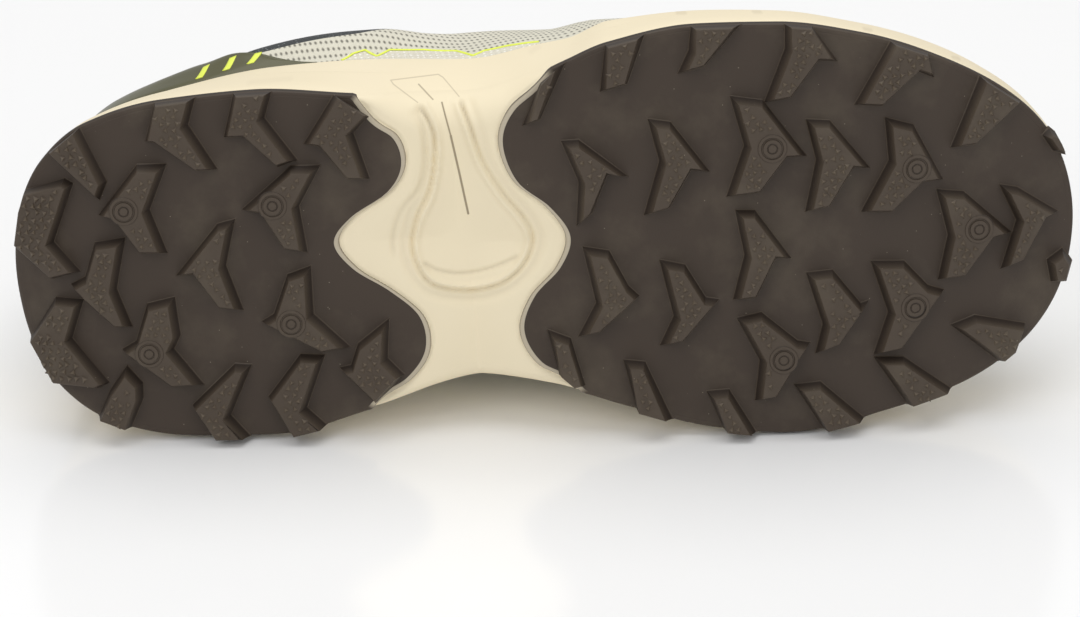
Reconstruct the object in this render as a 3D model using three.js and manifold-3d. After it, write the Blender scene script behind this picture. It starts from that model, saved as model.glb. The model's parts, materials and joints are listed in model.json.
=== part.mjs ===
// A low hiking shoe for the right foot, lying on its inner side with the sole upright.
// Millimetres. The shoe is worked out standing: x runs from heel to toe, y up from the
// plane of the tread and z towards the outer side. The last step lays it on its side.
import * as THREE from 'three';
import { mergeVertices } from 'three/addons/utils/BufferGeometryUtils.js';
import { ConvexHull } from 'three/addons/math/ConvexHull.js';
import Module from 'manifold-3d';

const wasm = await Module();
wasm.setup();

// Driving sizes of the last and the sole
const length = 300;
const heelWidth = 100;
const waistWidth = 82;
const ballWidth = 120;
const toeSpring = 17;
const heelBevel = 8;
const archRise = 4;
const toeDrift = 3;

// Where the sole changes height, as shares of the length, and how its sweeps start
const bevelTo = 0.095;
const dropFrom = 0.25;
const archCentre = 0.43;
const archReach = 0.09;
const springFrom = 0.67;
const dropTo = 0.69;
const driftFrom = 0.8;
const sweepPower = 1.8;
const wallSpring = 0.85;

// Build-up of the sole, from the tread upwards
const lugHeight = 4.5;
const lugSpan = 25;
const lugOverhang = 2;
const lugTop = 0.93;
const lugRoot = 1.06;
const podThickness = 2.5;
const waistRecess = 0.8;
const heelStack = 28;
const foreStack = 21;
const heelWall = 41;
const foreWall = 29;
const lipThickness = 2.6;
const lipRound = 0.7;
const wallBulge = 1;
const wallStep = 0.9;
const wallRake = 2.5;
const insoleThickness = 4.5;
const insoleBevel = 1.2;

// The upper
const backHeight = 98;
const ankleHeight = 81;
const throatHeight = 112;
const toeHeight = 60;
const collarWidth = 78;
const throatWidth = 34;
const upperWall = 2;
const overlayThickness = 1.5;
const collarPad = 6;
const collarRise = 4.6;
const tongueThickness = 5;
const tongueRise = 22;
const tongueCrown = 3;
const tongueFlank = 0.65;
const tongueBend = 42;
const tongueBack = 0.3;
const eyeletPairs = 5;
const eyeletHole = 2.1;
const eyeletBarrel = 2.9;
const eyeletFlange = 4.4;
const flangeThickness = 0.8;
const flangeBevel = 0.3;
const laceWidth = 5;
const laceHeight = 2.2;

// A reach well past every face of the shoe, for cutting shapes
const beyond = length * 0.3;

// Clearance that neighbours keep, and how finely the curved pieces are faceted
const fit = 0.3;
const columns = 26;
const rows = 8;
const podSteps = 24;
const edgeSteps = 8;
const eyeletSides = 8;

const foam = { color: 0xf3e7cf, roughness: 0.75 };
const rubber = { color: 0x3f3630, roughness: 0.7 };
const mesh = { color: 0xd9d8ca, roughness: 0.9 };
const gloss = { color: 0x5a5c3a, roughness: 0.35 };
const cuff = { color: 0x4a4d4e, roughness: 0.95 };
const metal = { color: 0x6b6d6c, roughness: 0.4 };
const cord = { color: 0xdfe86a, roughness: 0.8 };

// Outline of the sole: half widths to each side at the tread base and at the top of the
// foam wall, as shares of the width named in "of", at shares of the length.
const outlineTable = [
  { at: 0.000, of: heelWidth, outer: 0.000, inner: 0.000, outerTop: 0.000, innerTop: 0.000 },
  { at: 0.012, of: heelWidth, outer: 0.210, inner: 0.220, outerTop: 0.185, innerTop: 0.180 },
  { at: 0.035, of: heelWidth, outer: 0.330, inner: 0.335, outerTop: 0.290, innerTop: 0.275 },
  { at: 0.080, of: heelWidth, outer: 0.437, inner: 0.430, outerTop: 0.390, innerTop: 0.362 },
  { at: 0.150, of: heelWidth, outer: 0.490, inner: 0.485, outerTop: 0.448, innerTop: 0.415 },
  { at: 0.240, of: heelWidth, outer: 0.503, inner: 0.497, outerTop: 0.490, innerTop: 0.440 },
  { at: 0.330, of: heelWidth, outer: 0.475, inner: 0.437, outerTop: 0.498, innerTop: 0.420 },
  { at: 0.430, of: waistWidth, outer: 0.541, inner: 0.457, outerTop: 0.597, innerTop: 0.500 },
  { at: 0.500, of: waistWidth, outer: 0.604, inner: 0.494, outerTop: 0.652, innerTop: 0.528 },
  { at: 0.570, of: ballWidth, outer: 0.480, inner: 0.398, outerTop: 0.490, innerTop: 0.392 },
  { at: 0.650, of: ballWidth, outer: 0.511, inner: 0.462, outerTop: 0.505, innerTop: 0.432 },
  { at: 0.730, of: ballWidth, outer: 0.502, inner: 0.489, outerTop: 0.492, innerTop: 0.452 },
  { at: 0.810, of: ballWidth, outer: 0.457, inner: 0.458, outerTop: 0.446, innerTop: 0.424 },
  { at: 0.880, of: ballWidth, outer: 0.387, inner: 0.408, outerTop: 0.378, innerTop: 0.374 },
  { at: 0.940, of: ballWidth, outer: 0.293, inner: 0.322, outerTop: 0.283, innerTop: 0.290 },
  { at: 0.980, of: ballWidth, outer: 0.180, inner: 0.205, outerTop: 0.172, innerTop: 0.180 },
  { at: 1.000, of: ballWidth, outer: 0.000, inner: 0.000, outerTop: 0.000, innerTop: 0.000 },
];

// Sections of the upper. Each one springs from the sole at "at" and ends at "topAt", both
// shares of the length, at a height and a half width that are shares of the named sizes.
const upperTable = [
  { at: 0.000, topAt: 0.040, height: 1.00, over: backHeight, half: 0.00, across: collarWidth },
  { at: 0.020, topAt: 0.052, height: 0.99, over: backHeight, half: 0.20, across: collarWidth },
  { at: 0.070, topAt: 0.090, height: 0.95, over: backHeight, half: 0.37, across: collarWidth },
  { at: 0.150, topAt: 0.155, height: 0.90, over: backHeight, half: 0.46, across: collarWidth },
  { at: 0.240, topAt: 0.225, height: 1.00, over: ankleHeight, half: 0.50, across: collarWidth },
  { at: 0.330, topAt: 0.300, height: 1.03, over: ankleHeight, half: 0.50, across: collarWidth },
  { at: 0.400, topAt: 0.360, height: 0.86, over: throatHeight, half: 0.41, across: collarWidth },
  { at: 0.460, topAt: 0.405, height: 0.98, over: throatHeight, half: 0.28, across: collarWidth },
  { at: 0.520, topAt: 0.460, height: 0.95, over: throatHeight, half: 0.53, across: throatWidth },
  { at: 0.580, topAt: 0.520, height: 0.86, over: throatHeight, half: 0.49, across: throatWidth },
  { at: 0.640, topAt: 0.580, height: 0.775, over: throatHeight, half: 0.44, across: throatWidth },
  { at: 0.690, topAt: 0.625, height: 0.715, over: throatHeight, half: 0.36, across: throatWidth },
  { at: 0.725, topAt: 0.650, height: 0.685, over: throatHeight, half: 0.00, across: throatWidth },
  { at: 0.810, topAt: 0.720, height: 1.150, over: toeHeight, half: 0.00, across: throatWidth },
  { at: 0.900, topAt: 0.795, height: 1.070, over: toeHeight, half: 0.00, across: throatWidth },
  { at: 0.970, topAt: 0.860, height: 1.020, over: toeHeight, half: 0.00, across: throatWidth },
  { at: 1.000, topAt: 0.895, height: 1.000, over: toeHeight, half: 0.00, across: throatWidth },
];

// Wall of each section: "roll" is 0 where it ends upright at the collar and 1 where it rolls
// over the foot, and it swells past its foot on each side by a share of its height.
const wallTable = [
  { at: 0.000, roll: 0, swell: 0.08, innerSwell: 0.08 },
  { at: 0.070, roll: 0, swell: 0.08, innerSwell: 0.06 },
  { at: 0.150, roll: 0, swell: 0.09, innerSwell: 0.05 },
  { at: 0.240, roll: 0, swell: 0.12, innerSwell: 0.05 },
  { at: 0.330, roll: 0.05, swell: 0.14, innerSwell: 0.06 },
  { at: 0.400, roll: 0.2, swell: 0.15, innerSwell: 0.07 },
  { at: 0.460, roll: 0.45, swell: 0.15, innerSwell: 0.07 },
  { at: 0.520, roll: 0.6, swell: 0.12, innerSwell: 0.05 },
  { at: 0.580, roll: 0.7, swell: 0.08, innerSwell: 0.03 },
  { at: 0.640, roll: 0.8, swell: 0.05, innerSwell: 0.02 },
  { at: 0.690, roll: 0.9, swell: 0.04, innerSwell: 0.02 },
  { at: 0.725, roll: 1, swell: 0.03, innerSwell: 0.02 },
  { at: 0.900, roll: 1, swell: 0.03, innerSwell: 0.03 },
  { at: 1.000, roll: 1, swell: 0.06, innerSwell: 0.06 },
];
const throatEnd = 0.725;
const collarFront = 0.460;

// How the wall of the upper leaves the sole, bends at its shoulder and meets its top edge
const wallFullness = 0.42;
const shoulderReach = 0.22;
const shoulderRoll = 0.36;
const shoulderFall = 0.36;
const rowCrowding = 0.92;

// Overlays: edges of the heel counter and the toe cap seen from the side, as shares of the
// length and of the height at the back or the toe, and the eyestay's share of the wall.
const counterEdge = [
  { at: -0.050, high: 0.795 }, { at: 0.020, high: 0.790 }, { at: 0.075, high: 0.755 },
  { at: 0.130, high: 0.680 }, { at: 0.190, high: 0.570 }, { at: 0.250, high: 0.465 },
  { at: 0.310, high: 0.395 },
];
const toeEdge = [
  { at: 0.740, high: 0.500 }, { at: 0.800, high: 0.640 }, { at: 0.860, high: 0.790 },
  { at: 0.910, high: 0.980 }, { at: 0.950, high: 1.250 },
];
const stayShare = 0.24;

// The tongue above the throat: shares of its rise, and of its width and thickness there
const tongueTop = [
  { high: 0.15, wide: 0.90, thick: 1.0 }, { high: 0.45, wide: 0.84, thick: 1.0 },
  { high: 0.78, wide: 0.76, thick: 0.9 }, { high: 0.95, wide: 0.62, thick: 0.7 },
  { high: 1.00, wide: 0.45, thick: 0.4 },
];

// Lugs: the nose's place as shares of the length and of the pod's width, the way it
// points in degrees, its size as a share of the lug span, and its kind.
const heelLugs = [
  { at: 0.087, across: 0.19, turn: 182, size: 1.0, kind: 'plain' },
  { at: 0.220, across: 0.18, turn: 180, size: 0.95, kind: 'plain' },
  { at: 0.157, across: 0.01, turn: 183, size: 0.95, kind: 'plain' },
  { at: 0.060, across: -0.04, turn: 180, size: 0.92, kind: 'plain' },
  { at: 0.097, across: -0.21, turn: 185, size: 1.0, kind: 'plain' },
  { at: 0.233, across: -0.15, turn: 192, size: 0.95, kind: 'plain' },
  { at: 0.137, across: 0.42, turn: 196, size: 0.85, kind: 'plain' },
  { at: 0.210, across: 0.41, turn: 196, size: 0.85, kind: 'plain' },
  { at: 0.287, across: 0.37, turn: 184, size: 0.92, kind: 'plain' },
  { at: 0.003, across: 0.14, turn: 182, size: 1.05, kind: 'plain' },
  { at: 0.010, across: -0.17, turn: 182, size: 1.0, kind: 'plain' },
  { at: 0.157, across: -0.39, turn: 170, size: 0.88, kind: 'plain' },
  { at: 0.230, across: -0.38, turn: 174, size: 0.85, kind: 'plain' },
  { at: 0.303, across: -0.31, turn: 180, size: 0.88, kind: 'plain' },
  { at: 0.093, across: 0.28, turn: 318, size: 0.8, kind: 'bar' },
  { at: 0.098, across: -0.29, turn: 68, size: 0.8, kind: 'bar' },
];
const foreLugs = [
  { at: 0.583, across: 0.175, turn: 4, size: 0.92, kind: 'plain' },
  { at: 0.660, across: 0.180, turn: -5, size: 1.0, kind: 'plain' },
  { at: 0.743, across: 0.205, turn: -6, size: 1.05, kind: 'plain' },
  { at: 0.810, across: 0.155, turn: -8, size: 0.98, kind: 'plain' },
  { at: 0.877, across: 0.105, turn: -18, size: 1.05, kind: 'plain' },
  { at: 0.940, across: -0.045, turn: -4, size: 1.05, kind: 'plain' },
  { at: 0.730, across: -0.045, turn: -7, size: 0.95, kind: 'plain' },
  { at: 0.800, across: -0.190, turn: 2, size: 0.92, kind: 'plain' },
  { at: 0.877, across: -0.180, turn: 3, size: 1.05, kind: 'plain' },
  { at: 0.587, across: -0.110, turn: -6, size: 0.98, kind: 'plain' },
  { at: 0.660, across: -0.140, turn: 2, size: 0.92, kind: 'plain' },
  { at: 0.743, across: -0.270, turn: 10, size: 1.0, kind: 'plain' },
  { at: 0.783, across: 0.420, turn: -14, size: 0.92, kind: 'plain' },
  { at: 0.873, across: 0.355, turn: -26, size: 0.9, kind: 'plain' },
  { at: 0.950, across: 0.255, turn: -14, size: 0.85, kind: 'plain' },
  { at: 0.987, across: -0.020, turn: 0, size: 0.95, kind: 'plain' },
  { at: 0.950, across: -0.270, turn: 20, size: 0.85, kind: 'plain' },
  { at: 0.627, across: -0.370, turn: 12, size: 0.85, kind: 'plain' },
  { at: 0.707, across: -0.435, turn: 8, size: 0.85, kind: 'plain' },
  { at: 0.793, across: -0.440, turn: 12, size: 0.88, kind: 'plain' },
  { at: 0.873, across: -0.400, turn: 12, size: 0.85, kind: 'plain' },
  { at: 0.490, across: 0.330, turn: 262, size: 0.8, kind: 'bar' },
  { at: 0.577, across: 0.400, turn: 272, size: 0.78, kind: 'bar' },
  { at: 0.645, across: 0.420, turn: 256, size: 0.78, kind: 'bar' },
  { at: 0.537, across: -0.190, turn: 60, size: 0.75, kind: 'bar' },
  { at: 0.975, across: 0.130, turn: 205, size: 0.45, kind: 'bar' },
  { at: 0.972, across: -0.150, turn: 150, size: 0.45, kind: 'bar' },
];

// Lug shapes as shares of the lug span: x towards the nose, z to the side
const lugShapes = {
  plain: [[0, 0], [-0.49, 0.45], [-0.67, 0.52], [-0.52, 0.02], [-0.67, -0.52], [-0.49, -0.45]],
  bar: [[0, 0], [-0.22, 0.17], [-0.9, 0.24], [-0.9, -0.2]],
};

// Edges of the two rubber pods at the waist, from the outer side to the inner: shares of
// the length and of the waist width.
const heelPodEdge = [
  { at: 0.300, across: 0.80 }, { at: 0.345, across: 0.52 }, { at: 0.371, across: 0.43 },
  { at: 0.376, across: 0.33 }, { at: 0.361, across: 0.24 }, { at: 0.326, across: 0.16 },
  { at: 0.308, across: 0.07 }, { at: 0.324, across: -0.03 }, { at: 0.357, across: -0.12 },
  { at: 0.383, across: -0.22 }, { at: 0.386, across: -0.34 }, { at: 0.367, across: -0.44 },
  { at: 0.330, across: -0.53 }, { at: 0.290, across: -0.75 },
];
const forePodEdge = [
  { at: 0.570, across: 0.85 }, { at: 0.507, across: 0.60 }, { at: 0.475, across: 0.50 },
  { at: 0.463, across: 0.39 }, { at: 0.474, across: 0.25 }, { at: 0.503, across: 0.15 },
  { at: 0.520, across: 0.04 }, { at: 0.509, across: -0.07 }, { at: 0.483, across: -0.17 },
  { at: 0.471, across: -0.29 }, { at: 0.485, across: -0.41 }, { at: 0.519, across: -0.50 },
  { at: 0.590, across: -0.80 },
];

// Share of the way round a side of the shoe, with the ends drawn out, for a share of length
const wayRound = (at) => Math.acos(1 - 2 * at) / Math.PI;
const lengthAt = (way) => (1 - Math.cos(Math.PI * way)) / 2;

// A smooth curve through one column of a table that never overshoots its rows
function curveOf(table, value) {
  const xs = table.map((row) => wayRound(row.at));
  const ys = table.map(value);
  const slopes = xs.slice(1).map((x, i) => (ys[i + 1] - ys[i]) / (x - xs[i]));
  const tangents = xs.map((x, i) => {
    if (i === 0 || i === xs.length - 1) return slopes[Math.min(i, slopes.length - 1)];
    const [before, after] = [slopes[i - 1], slopes[i]];
    return before * after <= 0 ? 0 : (2 * before * after) / (before + after);
  });
  return (way) => {
    const i = Math.min(xs.length - 2, Math.max(0, xs.findLastIndex((x) => x <= way)));
    const span = xs[i + 1] - xs[i];
    const t = (way - xs[i]) / span;
    const rise = ys[i + 1] - ys[i];
    const a = tangents[i] * span - rise;
    const b = rise - tangents[i + 1] * span;
    return ys[i] + t * (rise + (1 - t) * (a * (1 - t) + b * t));
  };
}

const sideNames = { 1: ['outer', 'outerTop'], '-1': ['inner', 'innerTop'] };
const halfWidths = Object.fromEntries(
  Object.values(sideNames).flat().map((name) => [name, curveOf(outlineTable, (row) => row[name] * row.of)]),
);
const sections = {
  topAt: curveOf(upperTable, (row) => row.topAt * length),
  height: curveOf(upperTable, (row) => row.height * row.over),
  half: curveOf(upperTable, (row) => row.half * row.across),
  roll: curveOf(wallTable, (row) => row.roll),
  swell: curveOf(wallTable, (row) => row.swell),
  innerSwell: curveOf(wallTable, (row) => row.innerSwell),
};

const clamp = THREE.MathUtils.clamp;
const blend = (at, from, to) => THREE.MathUtils.smoothstep(at, from, to);

// Heights along the shoe, at a share of its length
const sweep = (share) => clamp(share, 0, 1) ** sweepPower;
const drop = (at) => blend(at, dropFrom, dropTo);
const springAt = (at) => toeSpring * sweep((at - springFrom) / (1 - springFrom));
const treadAt = (at) => springAt(at) + heelBevel * sweep((bevelTo - at) / bevelTo);
const stackAt = (at) => heelStack + (foreStack - heelStack) * drop(at) + springAt(at);
const wallAt = (at) => heelWall + (foreWall - heelWall) * drop(at) + wallSpring * springAt(at);
const archAt = (at) => archRise * Math.exp(-(((at - archCentre) / archReach) ** 4));
const centreAt = (at) => -toeDrift * blend(at, driftFrom, 1);

// A point of the sole's outline: level 0 is the tread base and level 1 the wall's top
function outlinePoint(way, side, level, inset = 0) {
  const [low, high] = sideNames[side];
  const at = lengthAt(way);
  const half = (w) => halfWidths[low](w) * (1 - level) + halfWidths[high](w) * level;
  const ends = wallRake * level;
  const place = (w) => [ends + (length - 2 * ends) * lengthAt(w), centreAt(lengthAt(w)) + side * half(w)];
  const [x, z] = place(way);
  const step = 0.004;
  const [x0, z0] = place(Math.max(0, way - step));
  const [x1, z1] = place(Math.min(1, way + step));
  const endward = way < step ? -1 : way > 1 - step ? 1 : 0;
  const normal = endward
    ? new THREE.Vector2(endward, 0)
    : new THREE.Vector2(-side * (z1 - z0), side * (x1 - x0)).normalize();
  return { x: x - inset * normal.x, z: z - inset * normal.y, normal, at };
}

// Vertices shared by place, and a closed solid from a list of corners and faces
function solidOf(points, faces) {
  const geometry = new THREE.BufferGeometry();
  const places = points.flatMap(({ x, y, z }) => [x, y, z]);
  geometry.setAttribute('position', new THREE.Float32BufferAttribute(places, 3));
  geometry.setIndex(faces.flat());
  return manifoldOf(geometry);
}

function manifoldOf(geometry) {
  geometry.deleteAttribute('normal');
  geometry.deleteAttribute('uv');
  const merged = mergeVertices(geometry, 1e-3);
  const index = merged.getIndex().array;
  const corners = [];
  for (let i = 0; i < index.length; i += 3) {
    const [a, b, c] = [index[i], index[i + 1], index[i + 2]];
    if (a !== b && b !== c && c !== a) corners.push(a, b, c);
  }
  return new wasm.Manifold(new wasm.Mesh({
    numProp: 3,
    vertProperties: new Float32Array(merged.getAttribute('position').array),
    triVerts: new Uint32Array(corners),
  }));
}

function geometryOf(solid) {
  const { vertProperties, triVerts } = solid.getMesh();
  const geometry = new THREE.BufferGeometry();
  geometry.setAttribute('position', new THREE.BufferAttribute(new Float32Array(vertProperties), 3));
  geometry.setIndex(new THREE.BufferAttribute(new Uint32Array(triVerts), 1));
  return geometry;
}

// A closed solid from rings of equal length, each joined to the next, with both ends closed
function loft(rings) {
  const count = rings[0].length;
  const faces = [];
  for (let r = 0; r < rings.length - 1; r += 1) {
    for (let i = 0; i < count; i += 1) {
      const j = (i + 1) % count;
      const [a, b, c, d] = [r * count + i, r * count + j, (r + 1) * count + j, (r + 1) * count + i];
      faces.push([a, b, c], [a, c, d]);
    }
  }
  faces.push(...ringCap(count, 0, true), ...ringCap(count, (rings.length - 1) * count, false));
  return solidOf(rings.flat(), faces);
}

// A ring that runs out along one side and back along the other is closed by cross strips
function ringCap(count, first, reversed) {
  const faces = [];
  for (let i = 0; i < count / 2; i += 1) {
    const [a, b] = [i, i + 1];
    const [c, d] = [(count - i - 1) % count, (count - i) % count];
    const quad = [[a, b, c], [a, c, d]].filter((f) => new Set(f).size === 3);
    quad.forEach((f) => faces.push(f.map((k) => first + k)));
  }
  return reversed ? faces.map(([a, b, c]) => [a, c, b]) : faces;
}

// Ways round the shoe in order: out along the outer side and back along the inner side
const stations = [
  ...Array.from({ length: columns + 1 }, (unused, i) => ({ way: i / columns, side: 1 })),
  ...Array.from({ length: columns - 1 }, (unused, i) => ({ way: (columns - 1 - i) / columns, side: -1 })),
];

// The upper's own surface: share 0 is its foot on the sole and share 1 its top edge
function upperPoint(way, side, share) {
  const foot = outlinePoint(way, side, 1, lipThickness + fit);
  const at = foot.at;
  const low = new THREE.Vector3(foot.x, stackAt(at) + fit, foot.z);
  const top = new THREE.Vector3(
    sections.topAt(way),
    sections.height(way),
    centreAt(at) * sections.roll(way) + side * sections.half(way),
  );
  const rise = top.y - low.y;
  const reach = Math.hypot(top.x - low.x, top.z - low.z);
  const roll = sections.roll(way);
  const out = new THREE.Vector3(foot.normal.x, 0, foot.normal.y);
  const swell = side > 0 ? sections.swell(way) : sections.innerSwell(way);
  const lower = low.clone().addScaledVector(out, swell * rise);
  lower.y += rise * wallFullness;
  const shoulder = reach * (shoulderReach + shoulderRoll * roll);
  const upper = top.clone().addScaledVector(out, shoulder);
  upper.y -= rise * shoulderFall * (1 - roll);
  if (roll === 1) upper.z = top.z + side * Math.abs(out.z) * shoulder;
  return new THREE.CubicBezierCurve3(low, lower, upper, top).getPoint(share);
}

// True in front of the throat, where the top edges of the two sides meet
const foldedAt = (way) => lengthAt(way) >= throatEnd && sections.half(way) < 1e-6;

// Rows of the upper's grid for every station, with the outward normal at each corner
const rowShares = Array.from({ length: rows + 1 }, (unused, j) => (j / rows) ** rowCrowding);
const grid = stations.map(({ way, side }) => rowShares.map((share) => upperPoint(way, side, share)));
const normals = stations.map(({ way, side }, i) => rowShares.map((share, j) => {
  const before = grid[(i + stations.length - 1) % stations.length][j];
  const after = grid[(i + 1) % stations.length][j];
  const below = grid[i][Math.max(0, j - 1)];
  const above = grid[i][Math.min(rows, j + 1)];
  const along = after.clone().sub(before);
  const normal = along.clone().cross(above.clone().sub(below));
  if (normal.length() < 1e-6 || (share === 1 && foldedAt(way))) {
    const next = sections.topAt(Math.min(1, way + 0.03)) - sections.topAt(way - 0.03);
    const fall = sections.height(Math.min(1, way + 0.03)) - sections.height(way - 0.03);
    normal.set(-fall, next, 0);
  }
  if (way === 0 || way === 1) normal.z = 0;
  return normal.normalize();
}));
const offsetPoint = (i, j, offset) => grid[i][j].clone().addScaledVector(normals[i][j], offset);

// The upper's outer surface moved out by an offset, closed over the top and underneath
function filledUpper(offset, drop = 0) {
  const rings = rowShares.map((share, j) => stations.map((station, i) => {
    const point = offsetPoint(i, j, offset);
    if (j === 0) point.y -= drop;
    return point;
  }));
  return loft(rings);
}

const closedTop = (i) => foldedAt(stations[i].way);

// The part of the upper's surface between two offsets, over the cells that "holds" picks.
// A cell is named by its step from the heel along its side, its row and its side.
function patch(holds, inner, outer) {
  const count = stations.length;
  const corner = (i, j) => {
    const station = i % count;
    const across = j === rows && closedTop(station) ? Math.min(station, count - station) : station;
    return across * (rows + 1) + j;
  };
  const outside = [];
  for (let i = 0; i < count; i += 1) {
    const side = i < columns ? 1 : -1;
    const step = side > 0 ? i : count - 1 - i;
    for (let j = 0; j < rows; j += 1) {
      const [a, b, c, d] = [corner(i, j), corner(i + 1, j), corner(i + 1, j + 1), corner(i, j + 1)];
      const wanted = holds(step, j, side) ? [[a, b, c], [a, c, d]] : [];
      outside.push(...wanted.filter((face) => new Set(face).size === 3));
    }
  }
  const edges = new Set();
  outside.forEach(([a, b, c]) => [[a, b], [b, c], [c, a]].forEach((edge) => edges.add(edge.join())));
  const rims = [...edges].map((edge) => edge.split(',').map(Number))
    .filter(([p, q]) => !edges.has(`${q},${p}`));
  const place = (offset) => stations
    .flatMap((station, i) => rowShares.map((share, j) => offsetPoint(i, j, offset)));
  const layer = count * (rows + 1);
  const faces = [
    ...outside,
    ...outside.map(([a, b, c]) => [layer + a, layer + c, layer + b]),
    ...rims.flatMap(([p, q]) => [[q, p, layer + p], [q, layer + p, layer + q]]),
  ];
  return solidOf([...place(outer), ...place(inner)], faces);
}

// Rings of equal length joined in a row, and closed at both ends, where "flatten" draws an
// end ring on a plane
function tube(rings, flatten) {
  const n = rings[0].length;
  const last = (rings.length - 1) * n;
  const sides = [];
  for (let r = 0; r < rings.length - 1; r += 1) {
    for (let i = 0; i < n; i += 1) {
      const j = (i + 1) % n;
      const [a, b, c, d] = [r * n + i, r * n + j, (r + 1) * n + j, (r + 1) * n + i];
      sides.push([a, b, c], [a, c, d]);
    }
  }
  const cap = (ring, first, reversed) => {
    const outline = ring.map(flatten);
    const clockwise = THREE.ShapeUtils.isClockWise(outline);
    return THREE.ShapeUtils.triangulateShape(outline, [])
      .map(([a, b, c]) => (clockwise === reversed ? [a, b, c] : [a, c, b]))
      .map((face) => face.map((k) => first + k));
  };
  const faces = [...sides, ...cap(rings[0], 0, true), ...cap(rings.at(-1), last, false)];
  const solid = solidOf(rings.flat(), faces);
  return solid.volume() > 0 ? solid : solidOf(rings.flat(), faces.map(([a, b, c]) => [a, c, b]));
}

// A prism across the shoe from an outline drawn on its side, or upwards from a plan
function sidePrism(outline, from, to) {
  const shape = new THREE.Shape(outline.map(([x, y]) => new THREE.Vector2(x, y)));
  const geometry = new THREE.ExtrudeGeometry(shape, { depth: to - from, bevelEnabled: false });
  geometry.translate(0, 0, from);
  return manifoldOf(geometry);
}

function planPrism(outline, from, to) {
  const shape = new THREE.Shape(outline.map(([x, z]) => new THREE.Vector2(x, -z)));
  const geometry = new THREE.ExtrudeGeometry(shape, { depth: to - from, bevelEnabled: false });
  geometry.rotateX(-Math.PI / 2);
  geometry.translate(0, from, 0);
  return manifoldOf(geometry);
}

// Midsole: one foam body with a stepped wall, cupped for the upper and cut for the pods
const wallRows = [
  { level: 0, out: 0 },
  { level: 0.22, out: wallBulge },
  { level: 0.55, out: wallBulge },
  { level: 0.6, out: wallBulge - wallStep },
  { level: 0.92, out: 0 },
  { level: 1, out: -lipRound },
];

function soleRing({ level, out }, lowest) {
  return stations.map(({ way, side }) => {
    const { x, z, at } = outlinePoint(way, side, level, -out);
    const low = treadAt(at) + lugHeight + (lowest ? lowest(at) : 0);
    return new THREE.Vector3(x, low + (wallAt(at) - low) * level, z);
  });
}

const smooth = (points, steps) => new THREE.SplineCurve(points.map(([x, y]) => new THREE.Vector2(x, y)))
  .getSpacedPoints(steps).map(({ x, y }) => [x, y]);
const podOutline = (edge, end) => {
  const waist = edge.map(({ at, across }) => [at * length, across * waistWidth]);
  return [...smooth(waist, podSteps), [end, -ballWidth], [end, ballWidth]];
};
const shrinkEdge = (edge, shift) => edge.map(({ at, across }) => ({ at: at + shift / length, across }));

function slab(from, to, overhang = 0) {
  const ring = (lift) => stations.map(({ way, side }) => {
    const { x, z } = outlinePoint(way, side, 0, -overhang);
    return new THREE.Vector3(x, treadAt(clamp(x / length, 0, 1)) + lift, z);
  });
  return loft([ring(from), ring(to)]);
}

const podSpecs = {
  outsole_heel: { edge: heelPodEdge, end: -beyond, gap: 1, lugs: heelLugs, width: heelWidth },
  outsole_forefoot: { edge: forePodEdge, end: length + beyond, gap: -1, lugs: foreLugs, width: ballWidth },
};
const podTop = lugHeight + podThickness;

function midsole() {
  const body = loft(wallRows.map((row) => soleRing(row, (at) => waistRecess + archAt(at))));
  const seats = Object.values(podSpecs).map(({ edge, end, gap }) => {
    const outline = podOutline(shrinkEdge(edge, gap * fit), end);
    return slab(-beyond, podTop + fit, 2 * lugOverhang).intersect(planPrism(outline, -beyond, beyond));
  });
  return seats.reduce((rest, seat) => rest.subtract(seat), body.subtract(filledUpper(fit, fit)));
}

// A lug: its drawn shape set at the tread, wider at its root, and its root in the pod
function lug({ at, across, turn, size, kind }, width) {
  const angle = THREE.MathUtils.degToRad(turn);
  const scale = size * lugSpan;
  const draw = lugShapes[kind].map(([x, z]) => [
    at * length + scale * (x * Math.cos(angle) - z * Math.sin(angle)),
    across * width + scale * (x * Math.sin(angle) + z * Math.cos(angle)),
  ]);
  const middle = draw.reduce(([a, b], [x, z]) => [a + x / draw.length, b + z / draw.length], [0, 0]);
  const ring = (spread, lift) => draw.map(([x, z]) => {
    const [px, pz] = [middle[0] + (x - middle[0]) * spread, middle[1] + (z - middle[1]) * spread];
    return new THREE.Vector3(px, treadAt(clamp(px / length, 0, 1)) + lift, pz);
  });
  const points = [...ring(lugTop, 0), ...ring(lugRoot, lugHeight + podThickness / 2)];
  const n = draw.length;
  const flat = draw.map(([x, z]) => new THREE.Vector2(x, z));
  const up = THREE.ShapeUtils.area(flat) > 0;
  const cap = THREE.ShapeUtils.triangulateShape(flat, []);
  const faces = [];
  cap.forEach(([a, b, c]) => {
    faces.push(up ? [a, b, c] : [a, c, b]);
    faces.push(up ? [n + a, n + c, n + b] : [n + a, n + b, n + c]);
  });
  for (let i = 0; i < n; i += 1) {
    const j = (i + 1) % n;
    const quad = [[i, n + j, j], [i, n + i, n + j]];
    quad.forEach(([a, b, c]) => faces.push(up ? [a, b, c] : [a, c, b]));
  }
  return solidOf(points, faces);
}

function pod({ edge, end, lugs, width }) {
  const plan = planPrism(podOutline(edge, end), -beyond, beyond);
  const base = slab(lugHeight, podTop).intersect(plan);
  const limit = slab(-beyond, podTop, lugOverhang).intersect(plan);
  const treads = lugs.map((row) => lug(row, width).intersect(limit));
  return treads.reduce((whole, one) => whole.add(one), base);
}

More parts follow.
